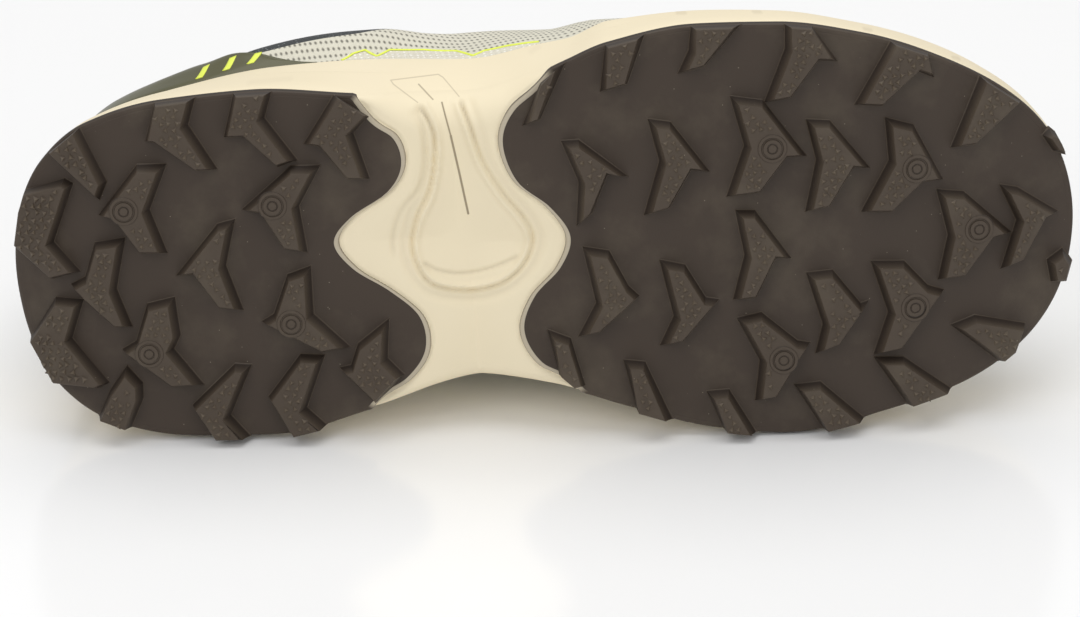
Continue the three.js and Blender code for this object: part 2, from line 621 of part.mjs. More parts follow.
// Insole: lies on the foam inside the foot of the upper
function insole() {
  const inset = lipThickness + upperWall + 4 * fit;
  const ring = (lift, inward) => stations.map(({ way, side }) => {
    const { x, z, at } = outlinePoint(way, side, 1, inset + inward);
    return new THREE.Vector3(x, stackAt(at) + lift, z);
  });
  return loft([ring(fit, 0), ring(insoleThickness - insoleBevel, 0), ring(insoleThickness, insoleBevel)]);
}

// The sole's wall with a clearance all round, which the overlays above it are cut to
const wallClear = loft(wallRows.map((row) => soleRing({ level: row.level, out: row.out + fit })))
  .translate([0, fit, 0]);
const stepOf = (at) => Math.round(wayRound(at) * columns);
const frontStep = stations.findIndex(({ way }) => foldedAt(way));
const collarStep = stepOf(collarFront);
const overlay = (holds) => patch(holds, fit, fit + overlayThickness);

function heelCounter() {
  const edge = smooth(counterEdge.map(({ at, high }) => [at * length, high * backHeight]), edgeSteps);
  const outline = [...edge, [edge.at(-1)[0], 0], [edge[0][0], 0]];
  return overlay((step, row) => step < stepOf(counterEdge.at(-1).at) + 1 && row > 0 && row < rows - 1)
    .intersect(sidePrism(outline, -ballWidth, ballWidth)).subtract(wallClear);
}

function toeCap() {
  const edge = smooth(toeEdge.map(({ at, high }) => [at * length, high * toeHeight]), edgeSteps);
  const outline = [...edge, [length + beyond, edge.at(-1)[1]], [length + beyond, 0], [edge[0][0], 0]];
  return overlay((step) => step >= stepOf(toeEdge[0].at))
    .intersect(sidePrism(outline, -ballWidth, ballWidth)).subtract(wallClear);
}

// Places round the throat on the smooth surface: a point, and the way the surface faces
function surfaceFrame(way, side, share, offset) {
  const step = 0.01;
  const along = upperPoint(way + step, side, share).sub(upperPoint(way - step, side, share));
  const up = upperPoint(way, side, share).sub(upperPoint(way, side, share - step));
  const out = along.cross(up).multiplyScalar(side).normalize();
  return { origin: upperPoint(way, side, share).addScaledVector(out, offset), out };
}

const eyeletShare = 0.9;
const firstEyelet = wayRound(0.485);
const lastEyelet = wayRound(0.68);
const eyeletWay = (k) => firstEyelet + ((lastEyelet - firstEyelet) * k) / (eyeletPairs - 1);
const eyeletSeat = fit + overlayThickness + fit;
const eyeletPlaces = [1, -1].flatMap((side) => Array.from({ length: eyeletPairs }, (unused, k) => ({
  side, pair: k, ...surfaceFrame(eyeletWay(k), side, eyeletShare, 0),
})));

// A turned shape stood on the upper, its axis along the way the surface faces there
function turned(profile, { origin, out }, segments) {
  const geometry = new THREE.LatheGeometry(profile.map(([r, y]) => new THREE.Vector2(r, y)), segments);
  const turn = new THREE.Quaternion().setFromUnitVectors(new THREE.Vector3(0, 1, 0), out);
  geometry.applyMatrix4(new THREE.Matrix4().compose(origin, turn, new THREE.Vector3(1, 1, 1)));
  return manifoldOf(geometry);
}

const eyeletProfile = [
  [eyeletHole, -upperWall], [eyeletBarrel, -upperWall], [eyeletBarrel, eyeletSeat],
  [eyeletFlange, eyeletSeat],
  [eyeletFlange - flangeBevel, eyeletSeat + flangeThickness], [eyeletHole, eyeletSeat + flangeThickness],
  [eyeletHole, -upperWall],
];
const boreProfile = [
  [0, -2 * upperWall], [eyeletBarrel + fit, -2 * upperWall], [eyeletBarrel + fit, eyeletSeat - fit],
  [eyeletFlange + fit, eyeletSeat - fit], [eyeletFlange + fit, 3 * eyeletSeat], [0, 3 * eyeletSeat],
];
const bored = (solid) => eyeletPlaces
  .reduce((rest, place) => rest.subtract(turned(boreProfile, place, eyeletSides)), solid);

function eyestay() {
  const [back, front] = [collarStep / columns, (frontStep + 0.9) / columns];
  const edge = (side) => Array.from({ length: edgeSteps }, (unused, k) => {
    const t = k / edgeSteps;
    const { x, z } = upperPoint(back + (front - back) * t, side, 1 - stayShare * Math.sqrt(1 - t ** 4));
    return [x, z];
  });
  const [outer, inner] = [edge(1), edge(-1)];
  const tip = upperPoint(front, 1, 1);
  const outline = [[0, outer[0][1]], ...outer, [tip.x, tip.z], ...inner.reverse(), [0, inner.at(-1)[1]]];
  const band = overlay((step, row) => step >= collarStep && step <= frontStep && row >= rows - 3);
  return bored(band.intersect(planPrism(outline, 0, 2 * throatHeight)));
}

// Collar: a padded roll inside the top edge, from one end of the throat round the heel
const padGap = 1.5 * fit;
const collarLip = [
  [-upperWall - padGap, padGap], [-fit, padGap], [-fit, collarRise * 0.5], [-upperWall, collarRise],
  [-upperWall - collarPad * 0.6, collarRise * 0.95],
];

function collar() {
  const reach = collarStep;
  const rings = Array.from({ length: 2 * reach + 1 }, (unused, k) => {
    const i = (k - reach + stations.length) % stations.length;
    const top = grid[i][rows];
    const up = top.clone().sub(grid[i][rows - 1]).normalize();
    const lip = collarLip
      .map(([out, high]) => top.clone().addScaledVector(normals[i][rows], out).addScaledVector(up, high));
    return [
      ...[rows - 2, rows - 1, rows].map((j) => offsetPoint(i, j, -upperWall - padGap)),
      ...lip,
      ...[rows, rows - 1].map((j) => offsetPoint(i, j, -upperWall - collarPad)),
      offsetPoint(i, rows - 2, -upperWall - collarPad * 0.4),
    ];
  });
  return tube(rings, ({ y, z }) => new THREE.Vector2(z, y));
}

// Tongue: follows the inside of the upper under the throat and rises above its top
function tongue() {
  const layer = (step, depth) => {
    const flank = (i) => {
      const [low, high] = [rows - 1, rows].map((j) => offsetPoint(i, j, -depth));
      return [low.lerp(high, 1 - tongueFlank), high];
    };
    const [near, away] = [flank(step), flank(stations.length - step).reverse()];
    const crown = tongueCrown * sections.half(step / columns) / throatWidth * 2;
    const arch = [0.25, 0.5, 0.75].map((t) => {
      const point = near[1].clone().lerp(away[0], t);
      return point.setY(point.y + 4 * crown * t * (1 - t));
    });
    return [...near, ...arch, ...away];
  };
  const inside = upperWall + 3 * fit;
  const ringAt = (step) => [...layer(step, inside), ...layer(step, inside + tongueThickness).reverse()];
  const rings = Array.from({ length: frontStep + 1 - collarStep }, (unused, k) => ringAt(collarStep + 1 + k));
  const behind = ringAt(collarStep);
  const top = rings[0].map((point, i) => point.clone().lerp(behind[i], tongueBack));
  const middle = top[3].clone().lerp(top[10], 0.5);
  const bend = new THREE.Quaternion()
    .setFromAxisAngle(new THREE.Vector3(0, 0, -1), THREE.MathUtils.degToRad(tongueBend));
  const rise = top[3].clone().sub(rings[0][3]).setLength(tongueRise).applyQuaternion(bend);
  rings.unshift(top);
  tongueTop.forEach(({ high, wide, thick }) => {
    const centre = middle.clone().addScaledVector(rise, high);
    const section = top.map((point, i) => {
      const half = point.clone().sub(top[13 - i]).multiplyScalar(thick / 2);
      const between = point.clone().add(top[13 - i]).multiplyScalar(0.5).sub(middle).multiplyScalar(wide);
      return between.add(half).applyQuaternion(bend).add(centre);
    });
    rings.unshift(section);
  });
  return tube(rings, ({ y, z }) => new THREE.Vector2(z, y));
}

// Laces: flat cord over the throat, crossing between the eyelet pairs, joined into one
function laces() {
  const offset = eyeletSeat + flangeThickness + 2 * fit + laceHeight / 2;
  const section = [
    [-0.5, 0], [-0.3, 0.5], [0.3, 0.5], [0.5, 0], [0.3, -0.5], [-0.3, -0.5],
  ].map(([a, b]) => [a * laceWidth, b * laceHeight]);
  const run = (from, to, side) => {
    const wayTo = (share) => from + (to - from) * share;
    const places = [
      surfaceFrame(wayTo(0), side, eyeletShare, offset), surfaceFrame(wayTo(0.28), side, 1, offset),
      surfaceFrame(wayTo(0.72), -side, 1, offset), surfaceFrame(wayTo(1), -side, eyeletShare, offset),
    ];
    places.splice(2, 0, {
      origin: places[1].origin.clone().lerp(places[2].origin, 0.5),
      out: places[1].out.clone().add(places[2].out).normalize(),
    });
    const rings = places.map(({ origin, out }, k) => {
      const ahead = places[Math.min(4, k + 1)].origin.clone().sub(places[Math.max(0, k - 1)].origin);
      const across = ahead.cross(out).normalize();
      return section.map(([a, b]) => origin.clone().addScaledVector(across, a).addScaledVector(out, b));
    });
    return tube(rings, ({ x, y }) => new THREE.Vector2(x, y));
  };
  const runs = [run(eyeletWay(eyeletPairs - 1), eyeletWay(eyeletPairs - 1), 1)];
  for (let k = 0; k < eyeletPairs - 1; k += 1) {
    [1, -1].forEach((side) => runs.push(run(eyeletWay(k), eyeletWay(k + 1), side)));
  }
  return runs.reduce((whole, one) => whole.add(one));
}

const parts = {
  midsole: [midsole(), foam],
  insole: [insole(), cuff],
  upper: [bored(patch(() => true, -upperWall, 0)), mesh],
  heel_counter: [heelCounter(), gloss],
  toe_cap: [toeCap(), gloss],
  eyestay: [eyestay(), gloss],
  collar: [collar(), cuff],
  tongue: [tongue(), cuff],
  laces: [laces(), cord],
};
Object.entries(podSpecs).forEach(([name, spec]) => {
  parts[name] = [pod(spec), rubber];
});
eyeletPlaces.forEach((place) => {
  const name = `eyelet_${place.side > 0 ? 'outer' : 'inner'}_${place.pair + 1}`;
  parts[name] = [turned(eyeletProfile, place, eyeletSides), metal];
});

const standing = new THREE.Group();
Object.entries(parts).forEach(([name, [solid, finish]]) => {
  const material = new THREE.MeshStandardMaterial({ ...finish, metalness: 0 });
  const piece = new THREE.Mesh(geometryOf(solid), material);
  piece.name = name;
  standing.add(piece);
});

// Corners of a solid, and its volume and centre from the pyramids under its faces
function cornersOf(solid) {
  const { vertProperties, triVerts } = solid.getMesh();
  const corner = (i) => new THREE.Vector3().fromArray(vertProperties, 3 * i);
  const points = Array.from({ length: vertProperties.length / 3 }, (unused, i) => corner(i));
  const moment = new THREE.Vector3();
  for (let i = 0; i < triVerts.length; i += 3) {
    const [a, b, c] = [0, 1, 2].map((k) => points[triVerts[i + k]]);
    moment.addScaledVector(a.clone().add(b).add(c), a.dot(b.clone().cross(c)) / 24);
  }
  return { points, moment };
}

// The shoe rolls over towards its inner side and comes to rest on the face of its convex
// hull that lies under its centre: the one that spans the sole's edge and the collar.
function restingWay(solids) {
  const measured = solids.map(cornersOf);
  const volume = solids.reduce((sum, solid) => sum + solid.volume(), 0);
  const centre = new THREE.Vector3();
  measured.forEach(({ moment }) => centre.addScaledVector(moment, 1 / volume));
  const { faces } = new ConvexHull().setFromPoints(measured.flatMap(({ points }) => points));
  const under = (down) => faces
    .filter(({ normal }) => normal.dot(down) > 1e-6)
    .map((face) => ({ face, far: -face.distanceToPoint(centre) / face.normal.dot(down) }))
    .reduce((near, next) => (next.far < near.far ? next : near)).face.normal;
  let down = new THREE.Vector3(0, 0, -1);
  let next = under(down);
  while (next.distanceTo(down) > 1e-9) {
    down = next;
    next = under(down);
  }
  return down;
}

const down = restingWay(Object.values(parts).map(([solid]) => solid));
const ahead = new THREE.Vector3(1, 0, 0).projectOnPlane(down).normalize();
const upwards = down.clone().negate();
const turn = new THREE.Matrix4().makeBasis(ahead, upwards.clone().cross(ahead), upwards).transpose();
standing.applyMatrix4(turn);
standing.updateMatrixWorld(true);
const box = new THREE.Box3().setFromObject(standing, true);
const middle = box.getCenter(new THREE.Vector3());
standing.position.sub(new THREE.Vector3(middle.x, middle.y, box.min.z));

const shoe = new THREE.Group();
shoe.add(standing);
export default shoe;
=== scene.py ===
"""Looks of a low hiking shoe for the right foot, lying on its inner side.

The shoe is worked out standing, in millimetres: x runs from heel to toe, y up from the plane of
the tread and z towards the outer side. Each piece is a surface of two parameters on a numpy
grid, and one rigid placement lays it down in the frame, in metres.
"""

import json
import logging
import math
from dataclasses import dataclass, field
from enum import Enum
from typing import Sequence

import bmesh
import bpy
import numpy as np
from mathutils import Euler, Matrix, Vector
from numpy.typing import NDArray

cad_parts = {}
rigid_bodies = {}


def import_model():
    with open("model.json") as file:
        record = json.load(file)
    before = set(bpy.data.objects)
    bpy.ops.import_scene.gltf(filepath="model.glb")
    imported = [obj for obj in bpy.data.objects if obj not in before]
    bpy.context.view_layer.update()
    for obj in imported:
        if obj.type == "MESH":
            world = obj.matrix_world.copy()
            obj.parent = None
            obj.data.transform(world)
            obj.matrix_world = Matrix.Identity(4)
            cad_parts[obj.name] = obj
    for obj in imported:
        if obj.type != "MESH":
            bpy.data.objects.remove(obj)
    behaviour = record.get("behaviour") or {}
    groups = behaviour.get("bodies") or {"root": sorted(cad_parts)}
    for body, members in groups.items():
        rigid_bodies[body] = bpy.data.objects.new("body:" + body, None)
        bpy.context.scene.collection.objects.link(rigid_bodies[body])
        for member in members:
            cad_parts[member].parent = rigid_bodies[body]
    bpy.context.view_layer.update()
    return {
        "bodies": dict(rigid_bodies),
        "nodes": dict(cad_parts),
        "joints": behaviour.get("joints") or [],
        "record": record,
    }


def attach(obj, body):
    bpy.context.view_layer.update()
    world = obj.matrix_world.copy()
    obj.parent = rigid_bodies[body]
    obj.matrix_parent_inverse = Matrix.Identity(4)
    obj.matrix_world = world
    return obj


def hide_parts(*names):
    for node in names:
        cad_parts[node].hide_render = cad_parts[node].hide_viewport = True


Array = NDArray[np.float64]
LOG = logging.getLogger("hiking_shoe")
MM = 0.001
BODY = "root"
SEED = 7

# Driving sizes of the last and the sole, as the solids have them
LENGTH = 300.0
HEEL_WIDTH = 100.0
WAIST_WIDTH = 82.0
BALL_WIDTH = 120.0
TOE_SPRING = 17.0
HEEL_BEVEL = 8.0
ARCH_RISE = 4.0
TOE_DRIFT = 3.0
BEVEL_TO = 0.095
DROP_FROM = 0.25
ARCH_CENTRE = 0.43
ARCH_REACH = 0.09
SPRING_FROM = 0.67
DROP_TO = 0.69
DRIFT_FROM = 0.8
SWEEP_POWER = 1.8
WALL_SPRING = 0.85
LUG_HEIGHT = 4.5
POD_THICKNESS = 2.5
WAIST_RECESS = 0.8
HEEL_STACK = 28.0
FORE_STACK = 21.0
HEEL_WALL = 41.0
FORE_WALL = 29.0
LIP_THICKNESS = 2.6
LIP_ROUND = 0.7
WALL_BULGE = 1.0
WALL_STEP = 0.9
WALL_RAKE = 2.5
HEEL_RAKE = 5.5
INSOLE_THICKNESS = 4.5
BACK_HEIGHT = 98.0
ANKLE_HEIGHT = 81.0
THROAT_HEIGHT = 112.0
TOE_HEIGHT = 60.0
COLLAR_WIDTH = 78.0
THROAT_WIDTH = 34.0
UPPER_WALL = 2.0
OVERLAY = 1.5
FIT = 0.3
THROAT_END = 0.725
COLLAR_FRONT = 0.460
WALL_FULLNESS = 0.42
SHOULDER_REACH = 0.22
SHOULDER_ROLL = 0.36
SHOULDER_FALL = 0.36
STAY_SHARE = 0.24
EYELET_PAIRS = 5
EYELET_SHARE = 0.9
EYELET_HOLE = 2.1
EYELET_BARREL = 2.9
EYELET_FLANGE = 4.4
EYELET_SEAT = 2 * FIT + OVERLAY

# Outline of the sole: half widths to each side at the tread and at the wall's top, as shares
# of the width in the second column: at, of, outer, inner, outer top, inner top.
OUTLINE = np.array([
    (0.000, HEEL_WIDTH, 0.000, 0.000, 0.000, 0.000),
    (0.012, HEEL_WIDTH, 0.210, 0.220, 0.185, 0.180),
    (0.035, HEEL_WIDTH, 0.330, 0.335, 0.290, 0.275),
    (0.080, HEEL_WIDTH, 0.437, 0.430, 0.390, 0.362),
    (0.150, HEEL_WIDTH, 0.490, 0.485, 0.448, 0.415),
    (0.240, HEEL_WIDTH, 0.503, 0.497, 0.490, 0.440),
    (0.330, HEEL_WIDTH, 0.475, 0.437, 0.498, 0.420),
    (0.430, WAIST_WIDTH, 0.541, 0.457, 0.597, 0.500),
    (0.500, WAIST_WIDTH, 0.604, 0.494, 0.642, 0.528),
    (0.530, BALL_WIDTH, 0.4425, 0.3602, 0.452, 0.3729),
    (0.570, BALL_WIDTH, 0.480, 0.398, 0.490, 0.392),
    (0.650, BALL_WIDTH, 0.511, 0.462, 0.505, 0.432),
    (0.730, BALL_WIDTH, 0.502, 0.489, 0.492, 0.452),
    (0.810, BALL_WIDTH, 0.457, 0.458, 0.446, 0.424),
    (0.880, BALL_WIDTH, 0.391, 0.408, 0.389, 0.374),
    (0.940, BALL_WIDTH, 0.305, 0.322, 0.306, 0.290),
    (0.980, BALL_WIDTH, 0.196, 0.205, 0.196, 0.180),
    (1.000, BALL_WIDTH, 0.000, 0.000, 0.000, 0.000),
])

# Sections of the upper: at, top at, height, of which height, half width, of which width
SECTIONS = np.array([
    (0.000, 0.040, 1.00, BACK_HEIGHT, 0.00, COLLAR_WIDTH),
    (0.020, 0.052, 0.99, BACK_HEIGHT, 0.17, COLLAR_WIDTH),
    (0.070, 0.090, 0.95, BACK_HEIGHT, 0.335, COLLAR_WIDTH),
    (0.150, 0.155, 0.90, BACK_HEIGHT, 0.435, COLLAR_WIDTH),
    (0.240, 0.225, 1.00, ANKLE_HEIGHT, 0.50, COLLAR_WIDTH),
    (0.330, 0.300, 1.03, ANKLE_HEIGHT, 0.50, COLLAR_WIDTH),
    (0.400, 0.360, 0.86, THROAT_HEIGHT, 0.41, COLLAR_WIDTH),
    (0.460, 0.405, 0.98, THROAT_HEIGHT, 0.28, COLLAR_WIDTH),
    (0.520, 0.460, 0.95, THROAT_HEIGHT, 0.53, THROAT_WIDTH),
    (0.580, 0.520, 0.86, THROAT_HEIGHT, 0.49, THROAT_WIDTH),
    (0.640, 0.580, 0.775, THROAT_HEIGHT, 0.44, THROAT_WIDTH),
    (0.690, 0.625, 0.715, THROAT_HEIGHT, 0.36, THROAT_WIDTH),
    (0.725, 0.650, 0.685, THROAT_HEIGHT, 0.00, THROAT_WIDTH),
    (0.810, 0.720, 1.150, TOE_HEIGHT, 0.00, THROAT_WIDTH),
    (0.900, 0.795, 1.070, TOE_HEIGHT, 0.00, THROAT_WIDTH),
    (0.970, 0.860, 1.020, TOE_HEIGHT, 0.00, THROAT_WIDTH),
    (1.000, 0.895, 1.000, TOE_HEIGHT, 0.00, THROAT_WIDTH),
])

# Wall of the sections: at, roll, swell to the outer side, swell to the inner side
WALLS = np.array([
    (0.000, 0.00, 0.08, 0.08),
    (0.070, 0.00, 0.08, 0.06),
    (0.150, 0.00, 0.09, 0.05),
    (0.240, 0.00, 0.12, 0.05),
    (0.330, 0.05, 0.14, 0.06),
    (0.400, 0.20, 0.15, 0.07),
    (0.460, 0.45, 0.15, 0.07),
    (0.520, 0.60, 0.12, 0.05),
    (0.580, 0.70, 0.08, 0.03),
    (0.640, 0.80, 0.05, 0.02),
    (0.690, 0.90, 0.04, 0.02),
    (0.725, 1.00, 0.03, 0.02),
    (0.900, 1.00, 0.03, 0.03),
    (1.000, 1.00, 0.06, 0.06),
])

# Waist edges of the two rubber pods, from the outer side to the inner: at, across the waist
HEEL_POD_EDGE = np.array([
    (0.300, 0.80), (0.345, 0.52), (0.371, 0.43), (0.376, 0.33), (0.361, 0.24), (0.326, 0.16),
    (0.308, 0.07), (0.324, -0.03), (0.357, -0.12), (0.383, -0.22), (0.386, -0.34), (0.367, -0.44),
    (0.330, -0.53), (0.290, -0.75),
])
FORE_POD_EDGE = np.array([
    (0.570, 0.85), (0.507, 0.60), (0.475, 0.50), (0.463, 0.39), (0.474, 0.25), (0.503, 0.15),
    (0.520, 0.04), (0.509, -0.07), (0.483, -0.17), (0.471, -0.29), (0.485, -0.41), (0.519, -0.50),
    (0.590, -0.80),
])

# Side-view edges of the overlays: at, high
COUNTER_EDGE = np.array([
    (-0.050, 0.795), (0.020, 0.790), (0.075, 0.755), (0.130, 0.680), (0.190, 0.570), (0.250, 0.465),
    (0.310, 0.395),
])
TOE_EDGE = np.array([
    (0.740, 0.500), (0.800, 0.640), (0.860, 0.790), (0.910, 0.980), (0.950, 1.250),
])


@dataclass(frozen=True)
class Lug:
    """One lug of the tread, charted on the picture of the sole.

    corners holds the corners of its foot in picture pixels, in order round it, and stud the
    middle of the ringed boss that some lugs carry. A proud lug stands out past the pod's edge
    by that many millimetres.
    """

    corners: tuple[tuple[float, float], ...]
    stud: tuple[float, float] | None = None
    proud: float = 0.0


HEEL_LUGS = (
    Lug(((99, 216), (139, 165), (169, 164), (151, 210), (168, 254), (140, 254), (115, 220)), (128, 212)),
    Lug(((242, 210), (292, 166), (322, 165), (300, 206), (308, 253), (284, 249), (261, 213)), (276, 206)),
    Lug(((175, 277), (218, 224), (236, 219), (226, 266), (243, 312), (218, 309), (193, 275))),
    Lug(((69, 286), (84, 278), (95, 243), (126, 238), (116, 290), (131, 329), (114, 329), (82, 300))),
    Lug(((119, 352), (134, 343), (146, 305), (174, 298), (179, 337), (172, 351), (202, 388), (170, 390)),
        (150, 356)),
    Lug(((260, 323), (273, 315), (287, 275), (311, 266), (313, 315), (350, 349), (322, 354)), (293, 325)),
    Lug(((50, 153), (84, 130), (109, 182), (101, 201))),
    Lug(((148, 142), (158, 104), (198, 101), (191, 125), (220, 170), (198, 171), (158, 143))),
    Lug(((226, 138), (236, 95), (273, 94), (267, 118), (299, 160), (279, 167), (246, 137))),
    Lug(((305, 144), (333, 98), (378, 110), (355, 133), (371, 179), (348, 179), (321, 146))),
    Lug(((75, 184), (66, 179), (27, 192), (12, 208), (9, 246), (50, 281), (80, 273), (53, 243))),
    Lug(((82, 301), (53, 299), (24, 341), (48, 388), (95, 392), (106, 386), (69, 341))),
    Lug(((124, 368), (140, 386), (140, 402), (125, 438), (92, 424), (106, 394))),
    Lug(((189, 409), (233, 366), (250, 367), (228, 419), (248, 442), (243, 448), (213, 450))),
    Lug(((266, 400), (299, 356), (324, 357), (305, 411), (322, 426), (317, 432), (290, 441))),
    Lug(((338, 370), (350, 367), (357, 345), (389, 319), (387, 360), (404, 377), (376, 407))),
)
FORE_LUGS = (
    Lug(((628, 176), (578, 139), (560, 140), (578, 181), (576, 226), (592, 212), (607, 174))),
    Lug(((709, 171), (669, 121), (646, 118), (658, 160), (643, 215), (669, 207), (690, 169))),
    Lug(((805, 155), (760, 99), (727, 95), (742, 144), (725, 196), (759, 191), (785, 156)), (768, 148)),
    Lug(((869, 167), (827, 119), (803, 118), (814, 158), (804, 211), (829, 205), (852, 166))),
    Lug(((943, 178), (911, 123), (882, 116), (887, 159), (860, 211), (891, 211), (922, 181)), (913, 168)),
    Lug(((1015, 232), (964, 190), (936, 188), (949, 234), (940, 280), (968, 276), (996, 237)), (978, 229)),
    Lug(((792, 258), (754, 209), (734, 209), (744, 254), (733, 300), (757, 297), (776, 257))),
    Lug(((871, 300), (862, 303), (833, 269), (806, 272), (824, 324), (817, 355), (842, 345))),
    Lug(((947, 290), (930, 285), (905, 260), (871, 260), (890, 312), (876, 356), (905, 350)), (915, 308)),
    Lug(((640, 296), (629, 286), (609, 250), (582, 246), (596, 303), (578, 338), (600, 333))),
    Lug(((720, 299), (706, 297), (685, 264), (659, 259), (674, 316), (660, 347), (684, 342))),
    Lug(((812, 343), (799, 341), (762, 312), (737, 318), (761, 361), (757, 403), (779, 399)), (783, 361)),
    Lug(((530, 78), (562, 61), (540, 119), (522, 126))),
    Lug(((600, 42), (640, 32), (626, 84), (599, 92))),
    Lug(((686, 24), (736, 22), (702, 66), (675, 74), (686, 50))),
    Lug(((834, 61), (808, 25), (780, 22), (781, 48), (761, 102), (788, 97), (815, 60))),
    Lug(((931, 77), (926, 50), (888, 36), (851, 104), (879, 105), (915, 71))),
    Lug(((980, 72), (1020, 100), (975, 143), (949, 147))),
    Lug(((1063, 211), (1019, 186), (1000, 183), (1019, 219), (1004, 270), (1028, 260), (1050, 217))),
    Lug(((954, 326), (979, 316), (1032, 325), (1022, 352), (1006, 364))),
    Lug(((547, 330), (571, 339), (586, 388), (572, 392), (556, 378))),
    Lug(((624, 361), (646, 363), (674, 423), (661, 429), (633, 417))),
    Lug(((708, 393), (731, 391), (759, 436), (751, 443), (722, 442))),
    Lug(((796, 386), (823, 383), (869, 422), (858, 434), (828, 440))),
    Lug(((876, 358), (907, 358), (954, 388), (946, 404), (916, 414))),
    Lug(((1043, 134), (1050, 127), (1061, 130), (1070, 143), (1068, 153), (1055, 150)), proud=1.5),
    Lug(((1052, 260), (1068, 248), (1078, 262), (1074, 282), (1057, 283)), proud=1.5),
)

# Marks moulded into the foam at the waist, charted in picture pixels
BULB = (
    (418, 103), (433, 132), (434, 164), (428, 194), (417, 217), (411, 243), (415, 264), (426, 282), (443, 290),
    (475, 292), (505, 283), (525, 264), (533, 240), (525, 220), (505, 196), (484, 164), (470, 126), (459, 97),
)
BULB_SHADOW = ((417, 103), (424, 132), (426, 164), (420, 188), (402, 211), (393, 240), (396, 264))
BULB_ARC = ((421, 262), (435, 271), (458, 275), (481, 272), (504, 264), (522, 255))

# The dark cuff's edge and the bright line: millimetres from the heel, with those below the
# upper's top edge and above the foam's lip
CUFF_EDGE = np.array([
    (0, 30.0), (40, 34.0), (60, 37.0), (70, 35.4), (80, 35.6), (92, 36.2), (102, 36.8), (109, 36.0), (116, 30.0),
    (126, 18.0), (136, 8.0), (150, 0.0),
])
BRIGHT_LINE = np.array([
    (93, 0.8), (97, 4.0), (101, 5.4), (103.7, 2.6), (108, 6.4), (118, 8.0), (127, 6.6), (131.3, 1.4), (135, 4.0),
    (142, 4.0), (151, 2.6),
])
TAB = ((418, 103), (393, 85), (390, 81), (437, 75), (442, 78), (459, 97))


@dataclass(frozen=True)
class Stroke:
    """A narrow mark on the foam: paths of picture pixels, drawn with a soft edge.

    half is its half width and soft the width of its edge, in millimetres, then its darkness, and cut
    tells whether it is cut into the foam or only lies on it. A cut stroke's darkness is painted shade
    in its groove; one that only lies on the foam is a smudge of dirt.
    """

    paths: tuple[tuple[tuple[float, float], ...], ...]
    half: float
    soft: float
    # Darkness: painted shade for a cut stroke, dirt for a smudge that lies on the foam
    soil_and_shade: float
    cut: bool = True

    def steps(self) -> list[tuple[Array, Array]]:
        """Ends of the straight steps of its paths, in the picture's millimetres."""
        paths = [np.array(path, float) / Sight.scale for path in self.paths]
        return [(a, b) for path in paths for a, b in zip(path[:-1], path[1:])]


# The four cut strokes are painted shade in their grooves; the last two, which lie on the foam, are smudges of dirt
STROKES = (
    Stroke((((442, 103), (451, 136)), ), 0.12, 0.2, 0.8),
    Stroke((((451, 136), (460, 176), (468, 214)), ), 0.2, 0.2, 0.85),
    Stroke((((418, 85), (433, 100)), ), 0.1, 0.2, 0.6),
    Stroke((TAB, ), 0.05, 0.22, 0.38),
    Stroke((((677, 13), (684, 13)), ((753, 12), (759, 12)), ((862, 29), (868, 30)), ((952, 57), (958, 58))),
           0.05, 1.0, 0.17, False),
    Stroke((((250, 84), (290, 80)), ((530, 52), (538, 47)), ), 0.1, 1.3, 0.06, False),
)


def smoothstep(x: Array | float, low: float, high: float) -> Array:
    """Smooth step from 0 at low to 1 at high: 3t^2 - 2t^3 with t the share of the way."""
    t = np.clip((np.asarray(x, float) - low) / (high - low), 0, 1)
    return t * t * (3 - 2 * t)


def way_round(at: Array | float) -> Array:
    """Share of the way round a side, with the ends drawn out, for a share of the length."""
    return np.arccos(1 - 2 * np.asarray(at, float)) / np.pi


def length_at(way: Array | float) -> Array:
    """Share of the length for a share of the way round a side."""
    return (1 - np.cos(np.pi * np.asarray(way, float))) / 2


def spline(points: Sequence | Array, count: int, closed: bool = False) -> Array:
    """Curve through points: a uniform Catmull-Rom spline, evenly spaced along its length.

    Args:
        points: array of n points in any number of dimensions.
        count: number of points to return.
        closed: whether the last point joins the first.

    Returns:
        Array of count points. A closed curve doesn't repeat its first point.
    """
    p = np.asarray(points, float)
    n = len(p) if closed else len(p) - 1
    i = np.arange(n)[:, None]
    pick = (lambda k: p[k % len(p)]) if closed else (lambda k: p[np.clip(k, 0, len(p) - 1)])
    t = np.linspace(0, 1, 24, endpoint=False)[None, :, None]
    a, b, c, d = (pick(i + k) for k in (-1, 0, 1, 2))
    fine = 0.5 * (2 * b + (c - a) * t + (2 * a - 5 * b + 4 * c - d) * t**2 + (3 * b - a - 3 * c + d) * t**3)
    fine = fine.reshape(-1, p.shape[1])
    fine = np.vstack([fine, fine[:1] if closed else p[-1:]])
    run = np.concatenate([[0], np.cumsum(np.linalg.norm(np.diff(fine, axis=0), axis=1))])
    at = np.linspace(0, run[-1], count, endpoint=not closed)
    return np.stack([np.interp(at, run, fine[:, k]) for k in range(p.shape[1])], axis=1)


def unit(v: Array) -> Array:
    """Vectors scaled to length 1."""
    return v / np.maximum(np.linalg.norm(v, axis=-1, keepdims=True), 1e-12)


def distance_to(points: Array, path: Array) -> tuple[Array, Array, Array]:
    """Distance from points to a path of straight steps.

    Args:
        points: (n, 2) points.
        path: (m, 2) corners of the path.

    Returns:
        The distances, the side of the path (+1 left, -1 right) and the share along it.
    """
    a, b = path[:-1], path[1:]
    step = b - a
    rel = points[:, None, :] - a[None]
    share = np.clip((rel * step).sum(-1) / (step**2).sum(-1), 0, 1)
    gap = rel - share[..., None] * step
    far = np.hypot(gap[..., 0], gap[..., 1])
    near = far.argmin(axis=1)
    rows = np.arange(len(points))
    cross = step[near, 0] * rel[rows, near, 1] - step[near, 1] * rel[rows, near, 0]
    return far[rows, near], np.sign(cross), (near + share[rows, near]) / len(step)


